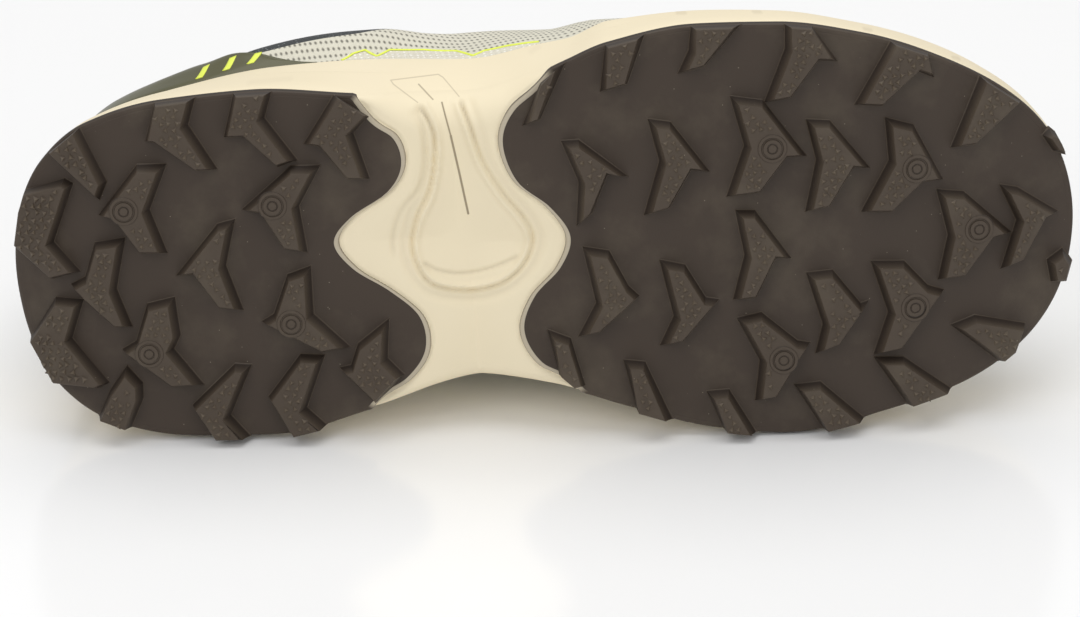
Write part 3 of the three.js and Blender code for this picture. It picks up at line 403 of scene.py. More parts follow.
@dataclass(frozen=True)
class Curve:
    """Smooth curve through one column of a table, which never overshoots its rows.

    Between two rows it is a cubic whose end slopes are the harmonic means of the slopes on
    both sides, in the drawn-out parameter that way_round gives.
    """

    at: Array
    values: Array

    def __call__(self, way: Array | float) -> Array:
        """Values of the curve at shares of the way round."""
        xs, ys = way_round(self.at), np.asarray(self.values, float)
        slopes = np.diff(ys) / np.diff(xs)
        before, after = slopes[:-1], slopes[1:]
        both = before * after
        mean = np.where(both > 0, 2 * both / np.where(both > 0, before + after, 1), 0)
        tangents = np.concatenate([slopes[:1], mean, slopes[-1:]])
        way = np.asarray(way, float)
        i = np.clip(np.searchsorted(xs, way, side="right") - 1, 0, len(xs) - 2)
        span, rise = xs[i + 1] - xs[i], ys[i + 1] - ys[i]
        t = (way - xs[i]) / span
        a = tangents[i] * span - rise
        b = rise - tangents[i + 1] * span
        return ys[i] + t * (rise + (1 - t) * (a * (1 - t) + b * t))


class Last:
    """The shoe's form: the outline of its sole, the heights along it and the upper's surface.

    A place round the shoe is one number: 0 at the heel, 1 at the toe along the outer side,
    and 2 back at the heel along the inner side.
    """

    def __init__(self) -> None:
        """Makes the curves from the tables."""
        at, of = OUTLINE[:, 0], OUTLINE[:, 1]
        self.halves = [Curve(at, OUTLINE[:, k] * of) for k in range(2, 6)]
        at = SECTIONS[:, 0]
        self.top_at = Curve(at, SECTIONS[:, 1] * LENGTH)
        self.height = Curve(at, SECTIONS[:, 2] * SECTIONS[:, 3])
        self.half = Curve(at, SECTIONS[:, 4] * SECTIONS[:, 5])
        self.roll, self.swell, self.inner_swell = (Curve(WALLS[:, 0], WALLS[:, k]) for k in (1, 2, 3))

    @staticmethod
    def spring(at: Array) -> Array:
        """Rise of the toe at a share of the length."""
        return TOE_SPRING * np.clip((at - SPRING_FROM) / (1 - SPRING_FROM), 0, 1) ** SWEEP_POWER

    def tread(self, at: Array) -> Array:
        """Height of the lugs' tops."""
        return self.spring(at) + HEEL_BEVEL * np.clip((BEVEL_TO - at) / BEVEL_TO, 0, 1) ** SWEEP_POWER

    def stack(self, at: Array) -> Array:
        """Height of the foam under the foot."""
        return HEEL_STACK + (FORE_STACK - HEEL_STACK) * smoothstep(at, DROP_FROM, DROP_TO) + self.spring(at)

    def wall(self, at: Array) -> Array:
        """Height of the foam wall's top edge."""
        drop = (FORE_WALL - HEEL_WALL) * smoothstep(at, DROP_FROM, DROP_TO)
        return HEEL_WALL + drop + WALL_SPRING * self.spring(at)

    @staticmethod
    def arch(at: Array) -> Array:
        """Hollow of the waist."""
        return ARCH_RISE * np.exp(-(((at - ARCH_CENTRE) / ARCH_REACH) ** 4))

    @staticmethod
    def centre(at: Array) -> Array:
        """Middle line of the sole, which drifts inwards at the toe."""
        return -TOE_DRIFT * smoothstep(at, DRIFT_FROM, 1)

    def outline(self, around: Array, level: Array | float, inset: Array | float = 0.0) -> tuple[Array, ...]:
        """The sole's outline at a level from the tread (0) to the wall's top (1), drawn in by inset.

        Returns:
            x, z, the outward normal's x and z, and the share of the length.
        """
        around, level, inset = np.broadcast_arrays(
            np.mod(np.asarray(around, float), 2), np.asarray(level, float), np.asarray(inset, float))
        way, side = 1 - np.abs(1 - around), np.where(around <= 1, 1.0, -1.0)
        outer, inner, outer_top, inner_top = self.halves
        back, front = HEEL_RAKE * level, WALL_RAKE * level

        def place(w: Array) -> tuple[Array, Array]:
            """x and z of the outline at a way round."""
            low = np.where(side > 0, outer(w), inner(w))
            high = np.where(side > 0, outer_top(w), inner_top(w))
            at = length_at(w)
            return back + (LENGTH - back - front) * at, self.centre(at) + side * (low * (1 - level) + high * level)

        step = 0.004
        x, z = place(way)
        (x0, z0), (x1, z1) = place(np.maximum(way - step, 0)), place(np.minimum(way + step, 1))
        nx, nz = -side * (z1 - z0), side * (x1 - x0)
        size = np.maximum(np.hypot(nx, nz), 1e-12)
        end = np.where(way < step, -1.0, np.where(way > 1 - step, 1.0, 0.0))
        nx, nz = np.where(end == 0, nx / size, end), np.where(end == 0, nz / size, 0.0)
        return x - inset * nx, z - inset * nz, nx, nz, length_at(way)

    def upper(self, around: Array, share: Array) -> Array:
        """Points of the upper's outer surface: a cubic Bezier from its foot to its top edge.

        Args:
            around: place round the shoe, from 0 to 2.
            share: 0 at the foot on the sole and 1 at the top edge.

        Returns:
            Points as an array with a last axis of 3.
        """
        around, share = np.broadcast_arrays(np.mod(np.asarray(around, float), 2), np.asarray(share, float))
        way, side = 1 - np.abs(1 - around), np.where(around <= 1, 1.0, -1.0)
        x, z, nx, nz, at = self.outline(around, 1.0, LIP_THICKNESS + FIT)
        roll = self.roll(way)
        low = np.stack([x, self.stack(at) + FIT, z], axis=-1)
        top = np.stack([self.top_at(way), self.height(way), self.centre(at) * roll + side * self.half(way)], axis=-1)
        out = np.stack([nx, np.zeros_like(nx), nz], axis=-1)
        rise = top[..., 1] - low[..., 1]
        reach = np.hypot(top[..., 0] - low[..., 0], top[..., 2] - low[..., 2])
        swell = np.where(side > 0, self.swell(way), self.inner_swell(way))
        lower = low + out * (swell * rise)[..., None]
        lower[..., 1] += rise * WALL_FULLNESS
        shoulder = reach * (SHOULDER_REACH + SHOULDER_ROLL * roll)
        upper = top + out * shoulder[..., None]
        upper[..., 1] -= rise * SHOULDER_FALL * (1 - roll)
        over = roll >= 1
        upper[..., 2] = np.where(over, top[..., 2] + side * np.abs(nz) * shoulder, upper[..., 2])
        t = share[..., None]
        return low * (1 - t) ** 3 + 3 * lower * t * (1 - t) ** 2 + 3 * upper * t * t * (1 - t) + top * t**3

    def folded(self, around: Array) -> Array:
        """True in front of the throat, where the top edges of both sides meet."""
        way = 1 - np.abs(1 - np.mod(np.asarray(around, float), 2))
        return (length_at(way) >= THROAT_END) & (self.half(way) < 1e-6)

    def normal(self, around: Array, share: Array) -> Array:
        """Outward normals of the upper: the cross product of central differences along it."""
        around, share = np.broadcast_arrays(np.asarray(around, float), np.asarray(share, float))
        e, f = 0.006, 0.01
        along = self.upper(around + e, share) - self.upper(around - e, share)
        up = self.upper(around, np.minimum(share + f, 1)) - self.upper(around, np.maximum(share - f, 0))
        n = np.cross(along, up)
        flat = (share > 0.999) & self.folded(around)
        n[..., 2] = np.where(flat, 0.0, n[..., 2])
        return unit(n)

    def skin(self, around: Array, share: Array, offset: Array | float) -> Array:
        """Points of the upper's surface moved out along its normal by an offset."""
        around, share, offset = np.broadcast_arrays(
            np.asarray(around, float), np.asarray(share, float), np.asarray(offset, float))
        return self.upper(around, share) + self.normal(around, share) * offset[..., None]

    @staticmethod
    def ease(share: Array) -> Array:
        """How fully the creases show: not at all in the sole's cup, and half at the top edge."""
        return smoothstep(share, 0.2, 0.4) * (1 - 0.5 * smoothstep(share, 0.95, 1.0))

    def creases(self, points: Array) -> Array:
        """Depth of the creases at points: for each a Gaussian bell across and along its run."""
        depth = np.zeros(points.shape[:-1])
        for crease in CREASES:
            middle = self.upper(crease.around, crease.share)
            ahead = unit(self.upper(crease.around + 0.01, crease.share) - self.upper(crease.around - 0.01, crease.share))
            ahead = ahead * np.sign(ahead[0])
            up = unit(self.upper(crease.around, crease.share + 0.02) - self.upper(crease.around, crease.share - 0.02))
            turn = math.radians(abs(crease.turn))
            run = ahead * math.cos(turn) + up * math.sin(turn) * np.sign(crease.turn) * (1 if crease.around < 1 else -1)
            over = np.cross(run, np.cross(ahead, up))
            rel = points - middle
            along, across = rel @ unit(run), rel @ unit(over)
            far = np.linalg.norm(rel, axis=-1)
            near = np.exp(-((along / crease.long) ** 2) - (across / crease.wide) ** 2)
            depth += crease.deep * near * (far < 3 * crease.long)
        return depth

    def worn(self, around: Array, share: Array) -> tuple[Array, Array]:
        """Points of the upper's surface with its creases, and the smooth normals under them."""
        around, share = np.broadcast_arrays(np.asarray(around, float), np.asarray(share, float))
        points, normal = self.upper(around, share), self.normal(around, share)
        return points - normal * (self.creases(points) * self.ease(share))[..., None], normal

    def share_at(self, around: Array, of: float, table: Array) -> Array:
        """Share at which the surface first comes up to a line drawn in the side view.

        Args:
            around: (n,) places round the shoe.
            of: what the table's heights are shares of, in millimetres.
            table: rows of a share of the length and a share of that height.

        Returns:
            (n,) shares, linear between 200 steps.
        """
        steps = np.linspace(0, 1, 200)
        p = self.upper(np.asarray(around)[:, None], steps[None, :])
        line = spline(table * (LENGTH, of), 200)
        over = p[..., 1] - np.interp(p[..., 0], line[:, 0], line[:, 1])
        first = np.where(over[:, -1] > 0, (over > 0).argmax(axis=1), len(steps) - 1)
        rows = np.arange(len(first))
        a, b = over[rows, np.maximum(first - 1, 0)], over[rows, first]
        part = np.where(b > a, -a / np.where(b > a, b - a, 1), 1)
        return np.clip((first - 1 + np.clip(part, 0, 1)) / (len(steps) - 1), 0, 1)

    def share_at_height(self, around: Array, height: Array) -> Array:
        """Share at which the surface reaches a height, for each place round the shoe."""
        steps = np.linspace(0, 1, 200)
        y = self.upper(np.asarray(around)[:, None], steps[None, :])[..., 1]
        first = (y > np.asarray(height)[:, None]).argmax(axis=1)
        rows = np.arange(len(first))
        a, b = y[rows, np.maximum(first - 1, 0)], y[rows, first]
        part = (height - a) / np.where(np.abs(b - a) > 1e-9, b - a, 1)
        return np.clip((first - 1 + np.clip(part, 0, 1)) / (len(steps) - 1), 0, 1)


@dataclass(frozen=True)
class Placement:
    """Lays the standing shoe down: a turn and a shift taken from the frame's two mounts.

    The mounts lie on two lugs whose places on the standing sole are known, and their axis is
    the downward normal of the tread, so that they fix the whole placement.
    """

    turn: Array
    shift: Array

    @classmethod
    def from_frame(cls, frame: dict) -> "Placement":
        """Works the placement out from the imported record."""
        mounts = {m["name"]: m for m in frame["record"]["mounts"]}
        heel, fore = np.array((54.2, 0.0, 1.4)), np.array((168.0, 0.0, 20.5))
        heel_at, fore_at = (np.array(mounts[k]["pos_m"]) / MM for k in ("heel_tread", "forefoot_tread"))
        up = -np.array(mounts["heel_tread"]["axis"])

        def basis(along: Array, upward: Array) -> Array:
            """Three unit vectors: along, upward and their cross product, as columns."""
            upward = unit(upward)
            along = unit(along - upward * (along @ upward))
            return np.stack([along, upward, np.cross(along, upward)], axis=1)

        turn = basis(fore_at - heel_at, up) @ basis(fore - heel, np.array((0.0, 1.0, 0.0))).T
        return cls(turn, heel_at - turn @ heel)

    def lay(self, points: Array) -> Array:
        """Standing millimetres to metres in the frame."""
        return (np.asarray(points) @ self.turn.T + self.shift) * MM


@dataclass(frozen=True)
class Sight:
    """How the picture sees the sole, to carry points charted on it over to the sole.

    The picture is taken as parallel: a point is first set on a plane that faces the camera,
    and then on the sole, which is tilted back from it and turned a little.
    """

    scale: float = 3.55
    left: float = 12.0
    middle: float = 270.0
    tilt: float = math.radians(14.0)
    turn: float = math.radians(3.78)
    lift: float = 5.0

    def on_sole(self, pixels: Sequence, depth: Array | float) -> Array:
        """Charted pixels to x and z of the standing shoe, at a depth from the tread's plane."""
        p = np.asarray(pixels, float).reshape(-1, 2)
        x = (p[:, 0] - self.left) / self.scale
        up = (self.middle - p[:, 1]) / self.scale
        z = (up - depth * math.sin(self.tilt)) / math.cos(self.tilt)
        c, s = math.cos(self.turn), math.sin(self.turn)
        return np.stack([x * c + z * s, -x * s + z * c + self.lift], axis=1)

    def seen(self, points: Array) -> Array:
        """Where points of the standing shoe lie in the picture, in pixels divided by its scale."""
        c, s = math.cos(self.turn), math.sin(self.turn)
        across = points[..., 2] - self.lift
        x = points[..., 0] * c - across * s
        z = points[..., 0] * s + across * c
        up = z * math.cos(self.tilt) + points[..., 1] * math.sin(self.tilt)
        return np.stack([self.left / self.scale + x, self.middle / self.scale - up], axis=-1)


class Plan:
    """Grids and faces gathered as whole arrays, then made into one mesh."""

    def __init__(self, name: str) -> None:
        """Starts an empty plan for a piece of that name."""
        self.name = name
        self.points: list[Array] = []
        self.faces: list[NDArray[np.int64]] = []
        self.uvs: list[Array] = []
        self.values: list[dict[str, Array]] = []
        self.caps: list[NDArray[np.int64]] = []
        self.count = 0

    def add(self, points: Array, faces: NDArray[np.int64], uv: Array | None = None,
            **values: Array | float) -> None:
        """Adds points of shape (n, 3) and faces of shape (m, 3 or 4), with values at the points."""
        n = len(points)
        self.points.append(points)
        self.faces.append(faces + self.count)
        self.uvs.append(np.zeros((n, 2)) if uv is None else uv)
        self.values.append({k: np.broadcast_to(np.asarray(v, float), n) for k, v in values.items()})
        self.count += n

    def grid(self, points: Array, wrap: bool = False, flip: bool = False, uv: Array | None = None,
             **values: Array | float) -> None:
        """Adds a grid of shape (rows, columns, 3) as quads, with values of shape (rows, columns)."""
        rows, columns = points.shape[:2]
        i, j = np.meshgrid(np.arange(rows - 1), np.arange(columns if wrap else columns - 1), indexing="ij")
        k = (j + 1) % columns
        quads = np.stack([i * columns + j, i * columns + k, (i + 1) * columns + k, (i + 1) * columns + j], axis=-1)
        quads = quads.reshape(-1, 4)
        flat = {k: np.broadcast_to(np.asarray(v, float), (rows, columns)).ravel() for k, v in values.items()}
        flat_uv = None if uv is None else uv.reshape(-1, 2)
        self.add(points.reshape(-1, 3), quads[:, ::-1] if flip else quads, flat_uv, **flat)

    def join(self, other: "Plan") -> None:
        """Takes in all of another plan."""
        self.points += other.points
        self.faces += [faces + self.count for faces in other.faces]
        self.caps += [cap + self.count for cap in other.caps]
        self.uvs += other.uvs
        self.values += other.values
        self.count += other.count

    def build(self, placement: Placement, merge: float = 0.02, sharp: float | None = None,
              recalc: bool = True) -> bpy.types.Object:
        """Makes the object: lays the points down, merges doubles and points the faces outwards.

        Args:
            placement: how the standing shoe is laid down.
            merge: distance in millimetres below which points are joined.
            sharp: angle in degrees above which edges stay sharp, or None to leave all smooth.
            recalc: whether the faces are turned to point outwards.

        Returns:
            The object, linked to the scene.
        """
        mesh = bpy.data.meshes.new(self.name)
        points = placement.lay(np.vstack(self.points))
        faces = [f for block in self.faces for f in block.tolist()] + [cap.tolist() for cap in self.caps]
        mesh.from_pydata(points.tolist(), [], faces)
        corners = np.empty(len(mesh.loops), dtype=np.int64)
        mesh.loops.foreach_get("vertex_index", corners)
        layer = mesh.uv_layers.new(name="Surface")
        layer.data.foreach_set("uv", np.vstack(self.uvs)[corners].ravel())
        for key in sorted({k for values in self.values for k in values}):
            blocks = [v.get(key, np.zeros(len(p))) for v, p in zip(self.values, self.points)]
            mesh.attributes.new(key, "FLOAT", "POINT").data.foreach_set("value", np.concatenate(blocks))
        soft = bmesh.new()
        soft.from_mesh(mesh)
        bmesh.ops.remove_doubles(soft, verts=soft.verts, dist=merge * MM)
        bmesh.ops.dissolve_degenerate(soft, edges=soft.edges, dist=merge * MM * 0.1)
        if recalc:
            bmesh.ops.recalc_face_normals(soft, faces=soft.faces)
        soft.to_mesh(mesh)
        soft.free()
        mesh.polygons.foreach_set("use_smooth", np.ones(len(mesh.polygons), dtype=bool))
        if sharp is not None:
            mesh.set_sharp_from_angle(angle=math.radians(sharp))
        piece = bpy.data.objects.new(self.name, mesh)
        bpy.context.scene.collection.objects.link(piece)
        return piece


def layered(plan: Plan, outer: Array, inner: Array, uv: Array | None = None, **values: Array | float) -> None:
    """Adds a thin closed slab to a plan: two grids of one shape and the four strips between them."""
    plan.grid(outer, uv=uv, **values)
    plan.grid(inner, flip=True, uv=uv, **values)
    for pick in ((0, slice(None)), (-1, slice(None)), (slice(None), 0), (slice(None), -1)):
        strip = np.stack([outer[pick], inner[pick]])
        strip_uv = None if uv is None else np.stack([uv[pick], uv[pick]])
        side = {k: np.stack([np.broadcast_to(v, outer.shape[:2])[pick]] * 2) for k, v in values.items()}
        plan.grid(strip, uv=strip_uv, **side)


def colour(code: str) -> tuple[float, float, float, float]:
    """sRGB hex to linear colour: each channel c becomes ((c + 0.055) / 1.055) to the power 2.4."""
    parts = [int(code[k:k + 2], 16) / 255 for k in (1, 3, 5)]
    return (*(c / 12.92 if c <= 0.04045 else ((c + 0.055) / 1.055) ** 2.4 for c in parts), 1.0)


def add(tree: bpy.types.NodeTree, kind: str, settings: dict | None = None,
        links: dict | None = None) -> bpy.types.Node:
    """Adds a node to a tree.

    Args:
        tree: the material's or world's node tree.
        kind: the node's type.
        settings: properties of the node by name, and values of inputs by name or place.
        links: outputs to join to inputs, by the input's name or place.

    Returns:
        The node.
    """
    node = tree.nodes.new(kind)
    for key, value in (settings or {}).items():
        if isinstance(key, int) or key in node.inputs:
            node.inputs[key].default_value = value
        else:
            setattr(node, key, value)
    for key, source in (links or {}).items():
        tree.links.new(source, node.inputs[key])
    return node


@dataclass(frozen=True)
class Finish:
    """A material's common values, and the way it starts: a principled shader and its output."""

    name: str
    tint: str
    roughness: float = 0.6
    settings: tuple[tuple[str, float], ...] = ()

    def start(self) -> tuple[bpy.types.Material, bpy.types.NodeTree, bpy.types.Node]:
        """Makes the material with its plain values, and returns it with its tree and shader."""
        material = bpy.data.materials.new(self.name)
        material.use_nodes = True
        tree = material.node_tree
        tree.nodes.clear()
        values = {"Base Color": colour(self.tint), "Roughness": self.roughness, **dict(self.settings)}
        shader = add(tree, "ShaderNodeBsdfPrincipled", values)
        add(tree, "ShaderNodeOutputMaterial", links={"Surface": shader.outputs[0]})
        return material, tree, shader


@dataclass(frozen=True)
class Foam(Finish):
    """Moulded EVA foam: a matt cream skin with a fine pebble and a slow change of tint.

    The marks moulded into it carry painted shade in their troughs and cuts: the attribute "line" draws
    the soft ones, and the narrow cuts are drawn as strokes on the UV map, which holds the picture's
    millimetres, along with a few smudges of dirt.
    """

    name: str = "eva_foam"
    tint: str = "#F2E5C8"
    deep: str = "#EADDBD"
    # Colour of the painted shade in the marks' troughs and cuts, and of the smudges of dirt
    dirt_and_shade: str = "#8A7B62"
    roughness: float = 0.62
    pebble: float = 0.7

    @staticmethod
    def stroke(tree: bpy.types.NodeTree, uv: bpy.types.NodeSocket, stroke: "Stroke") -> bpy.types.NodeSocket:
        """Darkness of a stroke, painted shade in a cut and dirt in a smudge: full within its half width of the path,
        down to 0 past its soft edge.

        The distance to each straight step a to b is that of the point p to a + (b - a) t, with t
        the dot product of p - a and b - a over the square of b - a, kept from 0 to 1.
        """
        nearest = None
        for a, b in stroke.steps():
            step = b - a
            start, along = (a[0], a[1], 0.0), (step[0], step[1], 0.0)
            over = tuple(c / (step @ step) for c in along)
            rel = add(tree, "ShaderNodeVectorMath", {"operation": "SUBTRACT", 1: start}, {0: uv}).outputs[0]
            dot = add(tree, "ShaderNodeVectorMath", {"operation": "DOT_PRODUCT", 1: over}, {0: rel}).outputs["Value"]
            t = add(tree, "ShaderNodeClamp", links={0: dot}).outputs[0]
            foot = add(tree, "ShaderNodeVectorMath", {"operation": "SCALE", 0: along}, {"Scale": t}).outputs[0]
            far = add(tree, "ShaderNodeVectorMath", {"operation": "DISTANCE"}, {0: rel, 1: foot}).outputs["Value"]
            if nearest is not None:
                far = add(tree, "ShaderNodeMath", {"operation": "MINIMUM"}, {0: far, 1: nearest}).outputs[0]
            nearest = far
        edge = {1: stroke.half, 2: stroke.half + stroke.soft, 3: stroke.soil_and_shade, 4: 0.0}
        return add(tree, "ShaderNodeMapRange", {"interpolation_type": "SMOOTHSTEP", **edge}, {0: nearest}).outputs[0]

    def make(self) -> bpy.types.Material:
        """Builds the material."""
        material, tree, shader = self.start()
        place = add(tree, "ShaderNodeTexCoord").outputs["Object"]
        slow = add(tree, "ShaderNodeTexNoise", {"Scale": 22.0, "Detail": 3.0}, {"Vector": place})
        body = add(tree, "ShaderNodeMix", {"data_type": "RGBA", 6: colour(self.tint), 7: colour(self.deep)},
                   {0: slow.outputs["Fac"]})
        line = add(tree, "ShaderNodeAttribute", {"attribute_name": "line"}).outputs["Fac"]
        uv = add(tree, "ShaderNodeUVMap", {"uv_map": "Surface"}).outputs[0]
        # The attribute "line" and the cut strokes lay painted shade in the marks' troughs and cuts; the strokes that
        # lie on the foam are smudges of dirt
        cut, soiled_and_shaded = None, line
        for stroke in STROKES:
            mark = self.stroke(tree, uv, stroke)
            soiled_and_shaded = add(tree, "ShaderNodeMath", {"operation": "MAXIMUM"}, {0: soiled_and_shaded, 1: mark}).outputs[0]
            if stroke.cut:
                both = {0: mark, 1: cut} if cut else {0: mark}
                cut = add(tree, "ShaderNodeMath", {"operation": "MAXIMUM"}, both).outputs[0]
        dark = add(tree, "ShaderNodeMix", {"data_type": "RGBA", 7: colour(self.dirt_and_shade)}, {0: soiled_and_shaded, 6: body.outputs[2]})
        tree.links.new(dark.outputs[2], shader.inputs["Base Color"])
        fine = add(tree, "ShaderNodeTexNoise", {"Scale": 1 / (self.pebble * MM), "Detail": 2.0}, {"Vector": place})
        grain = add(tree, "ShaderNodeBump", {"Strength": 0.25, "Distance": 0.08 * MM}, {"Height": fine.outputs["Fac"]})
        sunk = add(tree, "ShaderNodeBump", {"Strength": 0.9, "Distance": 0.4 * MM, "invert": True},
                   {"Height": cut, "Normal": grain.outputs[0]})
        tree.links.new(sunk.outputs[0], shader.inputs["Normal"])
        return material


@dataclass(frozen=True)
class Rubber(Finish):
    """Moulded carbon rubber: dark brown, satin, with paler dust where it is rubbed.

    The attribute "wall" lays painted shade on the lugs' flanks, the studs' steps, the pods' sides and a line
    inside each pod's rim at the waist; "top" pales the lugs' treads, partly as rubbed wear and partly as
    painted highlight along their edges and feet and on the grip pyramids; and "rim" draws the pale edge of
    a pod at the waist.
    """

    name: str = "moulded_rubber"
    tint: str = "#3B2F24"
    # Painted shade for the flanks and sides of the lugs, studs and pods
    flank: str = "#2A2018"
    # Paler treads: rubbed wear on the lugs' tops, and painted highlight on their edges, feet and grip pyramids
    tread: str = "#7D705D"
    dust: str = "#6A604F"
    edge: str = "#B9AE99"
    roughness: float = 0.6
    grain: float = 0.5

    def make(self) -> bpy.types.Material:
        """Builds the material."""
        material, tree, shader = self.start()
        place = add(tree, "ShaderNodeTexCoord").outputs["Object"]
        marks = {key: add(tree, "ShaderNodeAttribute", {"attribute_name": key}).outputs["Fac"]
                 for key in ("wall", "top", "rim")}
        cloud = add(tree, "ShaderNodeTexNoise", {"Scale": 45.0, "Detail": 5.0, "Roughness": 0.6}, {"Vector": place})
        veil = add(tree, "ShaderNodeMapRange", {1: 0.5, 2: 0.78, 3: 0.0, 4: 0.34}, {0: cloud.outputs["Fac"]})
        # Treads paled by "top": rubbed wear, with painted highlight on the lugs' edges and feet and on the pyramids'
        # apexes
        rubbed_and_highlit = add(tree, "ShaderNodeMix", {"data_type": "RGBA", 6: colour(self.tint), 7: colour(self.tread)},
                     {0: add(tree, "ShaderNodeMath", {"operation": "MULTIPLY", 1: 0.35, "use_clamp": True},
                             {0: marks["top"]}).outputs[0]})
        dusty = add(tree, "ShaderNodeMix", {"data_type": "RGBA", 7: colour(self.dust)},
                    {0: veil.outputs[0], 6: rubbed_and_highlit.outputs[2]})
        speck = add(tree, "ShaderNodeTexVoronoi", {"Scale": 260.0}, {"Vector": place})
        dot = add(tree, "ShaderNodeMapRange", {1: 0.045, 2: 0.02, 3: 0.0, 4: 0.5}, {0: speck.outputs["Distance"]})
        specked = add(tree, "ShaderNodeMix", {"data_type": "RGBA", 7: colour(self.edge)},
                      {0: dot.outputs[0], 6: dusty.outputs[2]})
        # Painted shade on the lugs' flanks, the studs' steps and the pods' sides, from the attribute "wall"
        flank_shaded = add(tree, "ShaderNodeMix", {"data_type": "RGBA", 7: colour(self.flank)},
                     {0: marks["wall"], 6: specked.outputs[2]})
        rimmed = add(tree, "ShaderNodeMix", {"data_type": "RGBA", 7: colour(self.edge)},
                     {0: marks["rim"], 6: flank_shaded.outputs[2]})
        tree.links.new(rimmed.outputs[2], shader.inputs["Base Color"])
        fine = add(tree, "ShaderNodeTexNoise", {"Scale": 1 / (self.grain * MM), "Detail": 3.0}, {"Vector": place})
        bump = add(tree, "ShaderNodeBump", {"Strength": 0.35, "Distance": 0.06 * MM}, {"Height": fine.outputs["Fac"]})
        tree.links.new(bump.outputs[0], shader.inputs["Normal"])
        return material


class Weave(Enum):
    """Ways the textiles of the shoe are made."""

    OPEN_MESH = "open mesh with rows of small holes"
    KNIT = "close ribbed knit"
    BRAID = "flat braid of crossing yarns"
    FELT = "felted top cloth"


@dataclass(frozen=True)
class Textile(Finish):
    """Polyester cloth on the piece's own UV map, which is in metres along the surface.

    Its pattern is a product of two waves, one for each direction of the yarn, shifted by half
    a step from row to row: the hollows between yarns are darker and lower.
    """

    weave: Weave = Weave.KNIT
    hollow: str = "#3A3A38"
    pitch: tuple[float, float] = (1.6, 1.2)
    depth: float = 0.25
    crown: float = 0.55

    def pattern(self, tree: bpy.types.NodeTree) -> bpy.types.NodeSocket:
        """Height of the yarns from 0 in the holes to 1 on the yarns' crowns."""
        uv = add(tree, "ShaderNodeUVMap", {"uv_map": "Surface"}).outputs[0]
        parts = add(tree, "ShaderNodeSeparateXYZ", links={0: uv})
        turns = [2 * math.pi / (p * MM) for p in self.pitch]
        u = add(tree, "ShaderNodeMath", {"operation": "MULTIPLY", 1: turns[0]}, {0: parts.outputs[0]}).outputs[0]
        v = add(tree, "ShaderNodeMath", {"operation": "MULTIPLY", 1: turns[1]}, {0: parts.outputs[1]}).outputs[0]
        if self.weave in (Weave.OPEN_MESH, Weave.BRAID):
            half = add(tree, "ShaderNodeMath", {"operation": "MULTIPLY", 1: 0.5}, {0: v}).outputs[0]
            left = add(tree, "ShaderNodeMath", {"operation": "ADD"}, {0: u, 1: half}).outputs[0]
            right = add(tree, "ShaderNodeMath", {"operation": "SUBTRACT"}, {0: u, 1: half}).outputs[0]
            u, v = left, right
        waves = [add(tree, "ShaderNodeMath", {"operation": "SINE"}, {0: w}).outputs[0] for w in (u, v)]
        both = add(tree, "ShaderNodeMath", {"operation": "MULTIPLY"}, {0: waves[0], 1: waves[1]}).outputs[0]
        return add(tree, "ShaderNodeMapRange", {1: -0.95, 2: self.crown, 3: 0.0, 4: 1.0}, {0: both}).outputs[0]

    def dress(self, tree: bpy.types.NodeTree, shader: bpy.types.Node) -> bpy.types.NodeSocket:
        """Joins the cloth's colour and relief to the shader, and returns its colour."""
        height = self.pattern(tree)
        place = add(tree, "ShaderNodeTexCoord").outputs["Object"]
        fluff = add(tree, "ShaderNodeTexNoise", {"Scale": 1800.0, "Detail": 2.0}, {"Vector": place}).outputs["Fac"]
        body = add(tree, "ShaderNodeMix", {"data_type": "RGBA", 6: colour(self.hollow), 7: colour(self.tint)},
                   {0: height}).outputs[2]
        mixed = add(tree, "ShaderNodeMix", {"data_type": "RGBA", "blend_type": "MULTIPLY", 0: 0.25},
                    {6: body, 7: fluff}).outputs[2]
        rough = add(tree, "ShaderNodeMath", {"operation": "MULTIPLY_ADD", 1: 0.25, 2: -0.1}, {0: fluff}).outputs[0]
        relief = add(tree, "ShaderNodeMath", {"operation": "ADD"}, {0: height, 1: rough}).outputs[0]
        bump = add(tree, "ShaderNodeBump", {"Strength": 0.8, "Distance": self.depth * MM}, {"Height": relief})
        tree.links.new(bump.outputs[0], shader.inputs["Normal"])
        tree.links.new(mixed, shader.inputs["Base Color"])
        return mixed

    def make(self) -> bpy.types.Material:
        """Builds the material."""
        material, tree, shader = self.start()
        self.dress(tree, shader)
        return material


